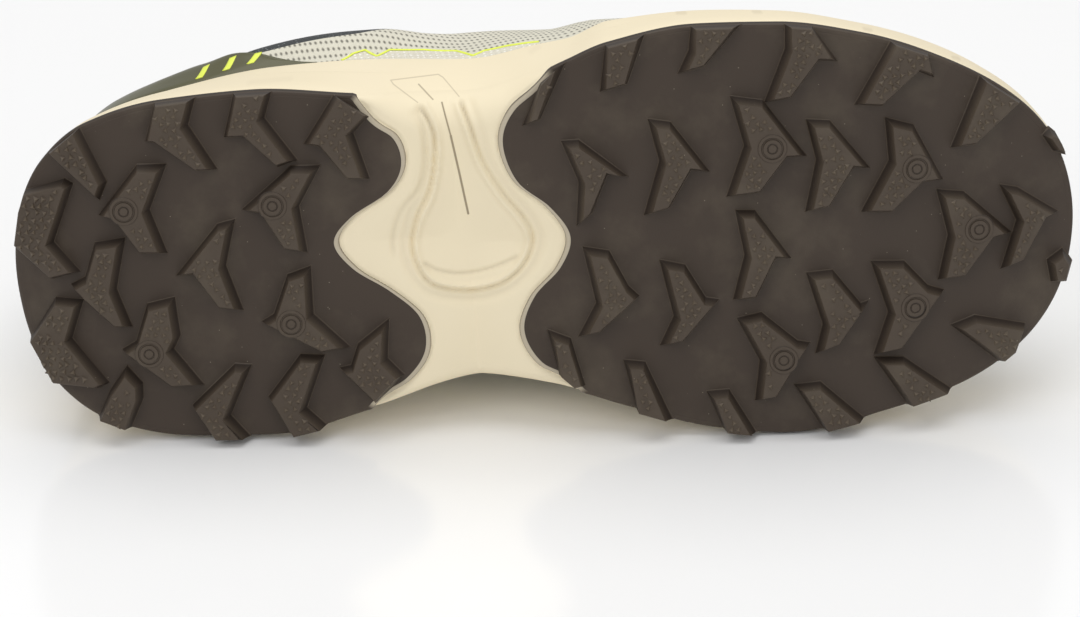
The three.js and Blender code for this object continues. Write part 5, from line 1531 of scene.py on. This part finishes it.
@dataclass
class Overlays:
    """Films bonded over the mesh: the heel counter, the toe cap and the eyestay."""

    shop: Workshop
    seat: float = FIT
    thick: float = OVERLAY

    def slab(self, name: str, around: Array, low: Array, high: Array, rows: int = 24, soft: float = 1.6,
             worn: bool = True) -> Plan:
        """A film between two lines on the upper, its edges rolled down to the mesh.

        Args:
            name: name of the piece.
            around: places round the shoe.
            low: share of its lower edge at each place.
            high: share of its upper edge at each place.
            rows: rows between the edges.
            soft: width in millimetres over which the upper edge rolls down.
            worn: whether it follows the upper's creases.

        Returns:
            The plan of the closed film.
        """
        last = self.shop.last
        t = np.linspace(0, 1, rows + 1)
        t = 0.5 - 0.5 * np.cos(np.pi * t)
        share = low[None, :] + (high - low)[None, :] * t[:, None]
        a = np.broadcast_to(around, share.shape)
        skin, normal = last.worn(a, share) if worn else (last.upper(a, share), last.normal(a, share))
        climb = np.concatenate([np.zeros((1, len(around))),
                                np.cumsum(np.linalg.norm(np.diff(skin, axis=0), axis=2), axis=0)])
        near = np.minimum(climb, climb[-1] - climb)
        swell = 1 - np.exp(-((near / soft) ** 1.5))
        run = np.concatenate([[0], np.cumsum(np.linalg.norm(np.diff(skin[rows // 2], axis=0), axis=1))])
        ends = np.minimum(run, run[-1] - run)
        lift = self.thick * np.minimum(swell, 1.0) * (1 - np.exp(-((ends / soft) ** 1.5)))[None, :]
        lift = np.maximum(lift, 0.25)
        plan = Plan(name)
        uv = np.stack([np.broadcast_to(run, share.shape), climb], axis=-1) * MM
        layered(plan, skin + normal * (self.seat + lift)[..., None], skin + normal * self.seat, uv=uv)
        return plan

    def counter(self) -> bpy.types.Object:
        """The heel counter: from the sole's lip up to its swept edge, round the heel."""
        last = self.shop.last
        reach = float(way_round(COUNTER_EDGE[-2, 0] + 0.035))
        around = np.linspace(-reach, reach, 220)
        at = length_at(np.abs(around))
        low = last.share_at_height(around, last.wall(at) - 1.0)
        high = last.share_at(around, BACK_HEIGHT, COUNTER_EDGE)
        piece = self.slab("heel_counter_film", around, low, np.maximum(high, low + 0.004)).build(self.shop.placement)
        return self.shop.finish(piece, self.shop.film, "heel_counter", "heel_counter")

    def toe(self) -> bpy.types.Object:
        """The toe cap: from the sole's lip up to its swept edge, round the toe."""
        last = self.shop.last
        reach = float(way_round(TOE_EDGE[0, 0] + 0.015))
        around = np.linspace(reach, 2 - reach, 200)
        at = length_at(1 - np.abs(1 - around))
        low = last.share_at_height(around, last.wall(at) - 1.0)
        high = last.share_at(around, TOE_HEIGHT, TOE_EDGE)
        piece = self.slab("toe_cap_film", around, low, np.maximum(high, low + 0.004)).build(self.shop.placement)
        return self.shop.finish(piece, self.shop.film, "toe_cap", "toe_cap")

    def eyestay(self) -> bpy.types.Object:
        """The eyestay: a band along both throat edges that closes round the front of the throat."""
        back, front = way_round(COLLAR_FRONT), way_round(THROAT_END) + 0.028
        t = np.linspace(0, 1, 90)
        t = 1 - (1 - t) ** 1.6
        ways = back + (front - back) * t
        reach = STAY_SHARE * np.sqrt(np.clip(1 - t**4, 0, 1))
        plans = []
        for side in (1, -1):
            around = ways if side > 0 else 2 - ways
            plans.append(self.slab("eyestay_film", around, 1 - np.maximum(reach, 0.004), np.ones_like(reach), soft=1.2,
                                   worn=False))
        plans[0].join(plans[1])
        piece = plans[0].build(self.shop.placement)
        return self.shop.finish(piece, self.shop.welded, "eyestay", "eyestay")

    def line(self, name: str, around: Array, share: Array, wide: float, lift: float) -> bpy.types.Object:
        """A printed line: a narrow raised strip along a path on the upper."""
        last = self.shop.last
        centre, normal = last.worn(around, share)
        ahead = unit(np.gradient(centre, axis=0))
        across = unit(np.cross(normal, ahead))
        c = np.linspace(-1, 1, 7)[:, None, None]
        crown = (1 - c**2) * 0.25
        top = centre + across * c * wide / 2 + normal * (lift + crown)
        bottom = centre + across * c * wide / 2 + normal * (lift - 0.15)
        plan = Plan(name)
        layered(plan, top, bottom)
        piece = plan.build(self.shop.placement)
        return self.shop.finish(piece, self.shop.ink, "upper")

    def trim(self) -> list[bpy.types.Object]:
        """The bright line along the printed band, on each side."""
        last = self.shop.last
        pieces = []
        for side, name in ((1, "outer"), (-1, "inner")):
            x = np.linspace(BRIGHT_LINE[0, 0], BRIGHT_LINE[-1, 0], 300)
            way = way_round(x / LENGTH)
            around = way if side > 0 else 2 - way
            height = last.wall(x / LENGTH) + np.interp(x, *BRIGHT_LINE.T)
            share = last.share_at_height(around, height)
            pieces.append(self.line(f"bright_line_{name}", around, share, 0.9, 0.1))
        return pieces

    def bars(self) -> bpy.types.Object:
        """Three slanted bars on each side of the counter, each a thin closed slab."""
        last = self.shop.last
        plan = Plan("counter_bars")
        for side in (1, -1):
            for x0, high in ((50.0, 10.0), (58.5, 7.5), (66.0, 5.2)):
                t = np.linspace(0, 1, 10)[:, None]
                w = np.linspace(-1, 1, 5)[None, :]
                x = x0 + 3.2 * t + 1.1 * w
                way = way_round(x / LENGTH)
                around = way if side > 0 else 2 - way
                height = last.wall(x / LENGTH) + 2.0 + high * 0.62 * t + 0 * w
                share = last.share_at_height(around.ravel(), height.ravel()).reshape(x.shape)
                skin, normal = last.worn(around, share)
                lift = self.seat + self.thick
                layered(plan, skin + normal * (lift + 0.12), skin + normal * (lift - 0.3))
        piece = plan.build(self.shop.placement)
        return self.shop.finish(piece, self.shop.ink, "heel_counter")


@dataclass
class Collar:
    """The padded roll round the ankle opening, inside the upper and over its top edge."""

    shop: Workshop
    columns: int = 260
    loop: int = 56

    # Section of the roll: millimetres below the top edge, outwards, and above the edge
    section: tuple[tuple[float, float, float], ...] = (
        (25, -2.5, 0), (16, -2.5, 0), (7, -2.5, 0), (0, -2.45, 0.45), (0, -0.3, 0.5), (0, 0.35, 1.5), (0, -0.1, 3.2),
        (0, -1.7, 4.5), (0, -3.6, 4.8), (0, -5.6, 4.0), (0, -7.3, 2.2), (2, -8.4, 0), (8, -9.0, 0), (15, -8.2, 0),
        (21, -5.8, 0), (25, -3.2, 0),
    )

    def build(self) -> bpy.types.Object:
        """Builds the roll: its section, a closed spline, carried along the top edge."""
        last = self.shop.last
        reach = float(way_round(COLLAR_FRONT))
        around = np.linspace(-reach, reach, self.columns)
        section = spline(self.section, self.loop, closed=True)
        run = np.linspace(0, 1, 60)
        edge = last.upper(around[:, None], 1 - 0.35 * run[None, :])
        down = np.concatenate([np.zeros((len(around), 1)), np.cumsum(np.linalg.norm(np.diff(edge, axis=1), axis=2), axis=1)], axis=1)
        drop = np.maximum(section[:, 0], 0)
        share = np.stack([1 - 0.35 * np.interp(drop, down[i], run) for i in range(len(around))])
        a = np.broadcast_to(around[:, None], share.shape)
        base, normal = last.upper(a, share), last.normal(a, share)
        up = unit(last.upper(a, np.ones_like(share)) - last.upper(a, np.full_like(share, 0.97)))
        ends = np.minimum(np.arange(self.columns), np.arange(self.columns)[::-1]) / 5.0
        plump = np.sqrt(np.clip(1 - (1 - np.clip(ends, 0, 1)) ** 2, 0.04, 1))[:, None]
        middle_out, middle_up = -4.8, 1.5
        out = middle_out + (section[:, 1] - middle_out) * plump
        rise = np.where(section[:, 2] > 0, middle_up + (section[:, 2] - middle_up) * plump, section[:, 2] * plump)
        points = base + normal * out[..., None] + up * rise[..., None]
        round_ = np.concatenate([[0], np.cumsum(np.linalg.norm(np.diff(points[0], axis=0), axis=1))])
        along = np.concatenate([[0], np.cumsum(np.linalg.norm(np.diff(points[:, 8], axis=0), axis=1))])
        uv = np.stack(np.meshgrid(along, round_, indexing="ij"), axis=-1) * MM
        plan = Plan("collar_pad")
        plan.grid(points, wrap=True, uv=uv)
        for end in (0, -1):
            hub = points[end].mean(axis=0)
            cap = np.stack([points[end], points[end] * 0.5 + hub * 0.5, np.broadcast_to(hub, points[end].shape)])
            plan.grid(cap, wrap=True, uv=np.stack([uv[end]] * 3))
        piece = plan.build(self.shop.placement)
        self.shop.finish(piece, self.shop.knit, "collar", "collar")
        return piece


@dataclass
class Tongue:
    """The padded tongue: under the throat, and above it up to a rounded top."""

    shop: Workshop
    inside: float = 4.6
    thick: float = 4.2
    bend: float = 42.0
    rise: float = 22.0
    crown: float = 2.2
    top: tuple[tuple[float, float, float], ...] = (
        (0.15, 0.92, 1.0), (0.45, 0.88, 1.1), (0.74, 0.80, 1.05), (0.90, 0.66, 0.9), (0.98, 0.46, 0.7), (1.0, 0.26, 0.4),
    )

    def ring(self, way: float) -> Array:
        """Control points of one section: the outer side from edge to edge, then the inner side."""
        last = self.shop.last
        layers = []
        for depth in (self.inside, self.inside + self.thick):
            flank = [last.skin(np.array([w, w]), np.array([1 - 0.085, 1.0]), -depth) for w in (way, 2 - way)]
            near, away = flank[0], flank[1][::-1]
            lift = self.crown * float(last.half(way)) * 2 / THROAT_WIDTH
            t = np.array([0.25, 0.5, 0.75])[:, None]
            arch = near[1] * (1 - t) + away[0] * t
            arch[:, 1] += (4 * lift * t * (1 - t))[:, 0]
            layers.append(np.vstack([near, arch, away]))
        edge = 0.5 * (layers[0][[0, -1]] + layers[1][[0, -1]])
        return np.vstack([layers[0], edge[1:], layers[1][::-1], edge[:1]])

    def build(self) -> bpy.types.Object:
        """Builds the tongue: closed sections joined by smooth curves along it."""
        back, front = float(way_round(COLLAR_FRONT)), float(way_round(THROAT_END)) + 0.03
        ways = np.linspace(front, back + 0.028, 8)
        rings = [self.ring(w) for w in ways]
        top = rings[-1]
        outer_mid, inner_mid = top[3], top[11]
        middle = 0.5 * (outer_mid + inner_mid)
        heading = unit(outer_mid - rings[-2][3])
        turn = np.array(Matrix.Rotation(-math.radians(self.bend), 3, "Z"))
        half_turn = np.array(Matrix.Rotation(-math.radians(self.bend * 0.6), 3, "Z"))
        pairs = np.concatenate([np.arange(14, 7, -1), [7], np.arange(6, -1, -1), [15]])
        partner = top[pairs]
        for high, wide, thick in self.top:
            which = half_turn if high < 0.2 else turn
            centre = middle + which @ heading * self.rise * high
            half = 0.5 * (top - partner) * thick
            between = (0.5 * (top + partner) - middle) * wide
            rings.append((half + between) @ which.T + centre)
        net = np.stack(rings)
        along = np.stack([spline(net[:, k], 110) for k in range(net.shape[1])], axis=1)
        grid = np.stack([spline(section, 72, closed=True) for section in along])
        run = np.concatenate([[0], np.cumsum(np.linalg.norm(np.diff(grid[:, 0], axis=0), axis=1))])
        over = np.concatenate([[0], np.cumsum(np.linalg.norm(np.diff(grid[50], axis=0), axis=1))])
        uv = np.stack(np.meshgrid(run, over, indexing="ij"), axis=-1) * MM
        plan = Plan("tongue_pad")
        plan.grid(grid, wrap=True, uv=uv)
        for end in (0, -1):
            hub = grid[end].mean(axis=0)
            cap = np.stack([grid[end], grid[end] * 0.5 + hub * 0.5, np.broadcast_to(hub, grid[end].shape)])
            plan.grid(cap, wrap=True, uv=np.stack([uv[end]] * 3))
        piece = plan.build(self.shop.placement)
        self.shop.finish(piece, self.shop.lining, "tongue", "tongue")
        return piece


@dataclass
class Lacing:
    """The lace and its eyelets: a front bar and crossings, up through the eyelets of each side."""

    shop: Workshop
    wide: float = 5.0
    flat: float = 1.4
    steps: int = 420
    sides: int = 12

    def ways(self) -> Array:
        """Ways round the shoe of the eyelet pairs, from the collar to the toe."""
        return np.linspace(float(way_round(0.485)), float(way_round(0.68)), EYELET_PAIRS)

    def eyelets(self) -> bpy.types.Object:
        """All eyelets as one piece: a rounded profile turned about each hole's axis."""
        last = self.shop.last
        profile = spline([(EYELET_HOLE, -1.8), (EYELET_BARREL, -1.9), (EYELET_BARREL, 0.5), (EYELET_BARREL, EYELET_SEAT),
                          (EYELET_FLANGE, EYELET_SEAT + 0.05), (EYELET_FLANGE + 0.05, EYELET_SEAT + 0.45),
                          (3.6, EYELET_SEAT + 0.95), (2.7, EYELET_SEAT + 0.85), (EYELET_HOLE, EYELET_SEAT + 0.2),
                          (EYELET_HOLE, 0.3)], 34, closed=True)
        turn = np.linspace(0, 2 * np.pi, 36, endpoint=False)
        plan = Plan("eyelet_rings")
        for around in np.concatenate([self.ways(), 2 - self.ways()]):
            origin, out = last.upper(around, EYELET_SHARE), last.normal(around, EYELET_SHARE)
            side = unit(np.cross(out, (0.0, 1.0, 0.3)))
            other = np.cross(out, side)
            ring = side * np.cos(turn)[:, None] + other * np.sin(turn)[:, None]
            points = origin + profile[:, None, :1] * ring[None] + profile[:, None, 1:] * out
            plan.grid(np.concatenate([points, points[:1]]), wrap=True)
        names = [f"eyelet_{side}_{k + 1}" for side in ("outer", "inner") for k in range(EYELET_PAIRS)]
        return self.shop.finish(plan.build(self.shop.placement), self.shop.enamel, "eyelets", *names)

    def strand(self, side: int, over: float) -> tuple[Array, Array, Array]:
        """Control points, outward directions and widths of one half of the lace.

        It starts at the middle of the front bar, goes down its own side's front hole, and at
        each pair comes up through the hole, over the tongue and under the other edge.
        """
        last = self.shop.last
        top = EYELET_SEAT + 1.9
        places: list[tuple[Array, Array, float]] = []

        def put(around: float, share: float, lift: float, width: float) -> None:
            """Adds a control point over the upper's surface."""
            normal = last.normal(around, share)
            places.append((last.upper(around, share) + normal * lift, normal, width))

        def between(first: float, second: float, t: float, lift: float) -> None:
            """Adds a control point over the throat between two places on its edges."""
            a, b = last.upper(first, 1.0), last.upper(second, 1.0)
            n = unit(last.normal(first, 1.0) + last.normal(second, 1.0))
            places.append((a * (1 - t) + b * t + n * lift, n, 1.0))

        ways = self.ways()[::-1]
        turn = lambda way, s: way if s > 0 else 2 - way
        here = side
        first = turn(ways[0], here)
        between(first, turn(ways[0], -here), 0.5, 1.2)
        between(first, turn(ways[0], -here), 0.08, 1.6)
        put(first, 0.965, top + 0.3, 1.0)
        put(first, EYELET_SHARE + 0.012, top + 0.2, 0.8)
        put(first, EYELET_SHARE, EYELET_SEAT, 0.62)
        put(first, EYELET_SHARE, -2.6, 0.62)
        put(turn(ways[0] - 0.02, here), EYELET_SHARE, -3.6, 0.8)
        for k in range(1, EYELET_PAIRS):
            spot = turn(ways[k], here)
            put(turn(ways[k] + 0.012, here), EYELET_SHARE, -3.4, 0.8)
            put(spot, EYELET_SHARE, -2.0, 0.62)
            put(spot, EYELET_SHARE, EYELET_SEAT + 0.6, 0.62)
            if k == EYELET_PAIRS - 1:
                break
            put(turn(ways[k] - 0.006, here), EYELET_SHARE + 0.03, top + 0.3, 0.95)
            put(turn(ways[k] - 0.012, here), 0.985, top - 0.3, 1.0)
            there = turn(ways[k + 1] + 0.012, -here)
            between(turn(ways[k] - 0.016, here), there, 0.5, 1.4 + over * (1 if k % 2 else -1))
            between(turn(ways[k] - 0.016, here), there, 0.93, -1.6)
            put(there, 0.965, -3.3, 1.0)
            here = -here
        points, normals, widths = (np.array(part, dtype=float) for part in zip(*places))
        return points, normals, widths

    def build(self) -> bpy.types.Object:
        """Builds both halves of the lace: a flat oval section carried along each path."""
        plan = Plan("flat_lace")
        turn = np.linspace(0, 2 * np.pi, self.sides, endpoint=False)
        for side, over in ((1, 0.8), (-1, -0.8)):
            points, normals, widths = self.strand(side, over)
            whole = spline(np.hstack([points * 1.0, normals * 0.01, widths[:, None] * 0.01]), self.steps)
            path, out, width = whole[:, :3], unit(whole[:, 3:6]), whole[:, 6:] * 100
            ahead = unit(np.gradient(path, axis=0))
            across = unit(np.cross(out, ahead))
            lift = np.cross(ahead, across)
            w = width * self.wide / 2
            h = self.flat / 2 * (1 + 0.9 * (1 - width))
            flat = np.sign(np.cos(turn)) * np.abs(np.cos(turn)) ** 0.8
            grid = path[:, None] + across[:, None] * (w * flat)[..., None] + lift[:, None] * (h * np.sin(turn))[..., None]
            run = np.concatenate([[0], np.cumsum(np.linalg.norm(np.diff(path, axis=0), axis=1))])
            uv = np.stack(np.meshgrid(run, turn / (2 * np.pi) * 12, indexing="ij"), axis=-1) * MM
            plan.grid(grid, wrap=True, uv=uv)
            for end in (0, -1):
                hub = grid[end].mean(axis=0)
                cap = np.stack([grid[end], np.broadcast_to(hub, grid[end].shape)])
                plan.grid(cap, wrap=True, uv=np.stack([uv[end]] * 2))
        return self.shop.finish(plan.build(self.shop.placement), self.shop.braid, "laces", "laces")


@dataclass
class Insole:
    """The footbed: a closed pad with a cupped top and rounded edges."""

    shop: Workshop
    inset: float = LIP_THICKNESS + UPPER_WALL + 4 * FIT

    def build(self) -> bpy.types.Object:
        """Builds the footbed as rings from its middle line out to its edge and back below."""
        last = self.shop.last
        around = np.linspace(0, 2, 240, endpoint=False)
        steps = np.array([(0.0, 0.0), (0.0, 0.25), (0.0, 0.5), (0.1, 0.7), (0.5, 0.85), (0.9, 0.93), (0.9, 0.975)])
        plan = Plan("insole_pad")
        way = 1 - np.abs(1 - around)
        x0 = 12 + (LENGTH - 24) * length_at(way)
        z0 = last.centre(length_at(way))
        xe, ze, *_, at = last.outline(around, 1.0, self.inset)
        rings = []
        for lift, out in steps:
            x, z = x0 + (xe - x0) * out, z0 + (ze - z0) * out
            rings.append(np.stack([x, last.stack(at) + INSOLE_THICKNESS - 0.9 + lift, z], axis=-1))
        for deep, inset in ((0.9, 0.15), (2.0, 0.0), (INSOLE_THICKNESS - FIT, 0.0)):
            x, z, *_ = last.outline(around, 1.0, self.inset + inset)
            rings.append(np.stack([x, last.stack(at) + INSOLE_THICKNESS - deep, z], axis=-1))
        rings.append(np.stack([x0, last.stack(at) + FIT, z0], axis=-1))
        grid = np.stack(rings)
        uv = grid[..., (0, 2)] * MM
        plan.grid(grid, wrap=True, uv=uv)
        piece = plan.build(self.shop.placement)
        return self.shop.finish(piece, self.shop.felt, "insole", "insole")


@dataclass
class Studio:
    """A pale glossy table, soft light and the camera at the picture's angle to the shoe."""

    shop: Workshop
    lens: float = 150.0
    elevation: float = 26.5
    roll: float = -0.72
    aim: tuple[float, float, float] = (147.7, 0.0, -16.0)
    frame_width: float = 1080 / 3.55
    sensor: float = 36.0

    def camera(self) -> None:
        """Sets the camera so that the frame's width at the aim is the picture's."""
        target = Vector(self.shop.placement.lay(np.array([self.aim]))[0])
        data = bpy.data.cameras.new("camera")
        data.lens, data.sensor_width, data.clip_start, data.clip_end = self.lens, self.sensor, 0.05, 20.0
        camera = bpy.data.objects.new("camera", data)
        bpy.context.scene.collection.objects.link(camera)
        away = self.lens / self.sensor * self.frame_width * MM
        tilt = math.radians(self.elevation)
        look = Vector((0.0, math.cos(tilt), -math.sin(tilt)))
        camera.location = target - look * away
        turn = Euler((math.radians(90.0) - tilt, 0.0, 0.0)).to_matrix()
        spin = Matrix.Rotation(math.radians(self.roll), 3, "Z")
        camera.rotation_euler = (turn @ spin).to_euler()
        bpy.context.scene.camera = camera

    def light(self, name: str, at: tuple[float, float, float], size: float, power: float) -> None:
        """Adds a square area light that faces the shoe."""
        data = bpy.data.lights.new(name, "AREA")
        data.size, data.energy = size, power
        lamp = bpy.data.objects.new(name, data)
        lamp.location = at
        lamp.rotation_euler = (Vector((0, 0, 0.05)) - Vector(at)).to_track_quat("-Z", "Y").to_euler()
        bpy.context.scene.collection.objects.link(lamp)

    def build(self) -> None:
        """Builds the floor, the world and the lights."""
        scene = bpy.context.scene
        scene.view_settings.view_transform = "Standard"
        scene.view_settings.look = "None"
        mesh = bpy.data.meshes.new("floor")
        half = 4.0
        mesh.from_pydata([(-half, -half, 0), (half, -half, 0), (half, half, 0), (-half, half, 0)], [], [(0, 1, 2, 3)])
        floor = bpy.data.objects.new("floor", mesh)
        scene.collection.objects.link(floor)
        gloss = Print("white_gloss", "#FFFFFF", 0.15, (("Specular IOR Level", 0.9),), 60.0)
        floor.data.materials.append(gloss.make())
        world = bpy.data.worlds.new("studio")
        world.use_nodes = True
        back = world.node_tree.nodes["Background"]
        back.inputs["Color"].default_value = (1.0, 1.0, 1.0, 1.0)
        back.inputs["Strength"].default_value = 0.48
        scene.world = world
        self.light("overhead", (0.0, 0.2, 1.6), 1.8, 17.0)
        self.light("key", (-0.7, -1.1, 1.1), 0.9, 5.4)
        self.light("fill", (0.9, -1.3, 0.5), 1.2, 3.3)
        self.camera()


def main() -> None:
    """Loads the frame, builds the studio and every sub-assembly."""
    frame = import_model()
    shop = Workshop(frame)
    Studio(shop).build()
    pods = (
        Pod(shop, "heel_pod", "outsole_heel", HEEL_POD_EDGE, (45.0, 0.0), 1.0, HEEL_LUGS),
        Pod(shop, "forefoot_pod", "outsole_forefoot", FORE_POD_EDGE, (225.0, 0.0), -1.0, FORE_LUGS),
    )
    Midsole(shop, pods=pods).build()
    for pod in pods:
        pod.build()
    Upper(shop).build()
    overlays = Overlays(shop)
    overlays.counter()
    overlays.toe()
    overlays.eyestay()
    overlays.trim()
    overlays.bars()
    Collar(shop).build()
    Tongue(shop).build()
    lacing = Lacing(shop)
    lacing.eyelets()
    lacing.build()
    Insole(shop).build()


if __name__ == "__main__":
    logging.basicConfig(level=logging.INFO, format="%(message)s")
    main()
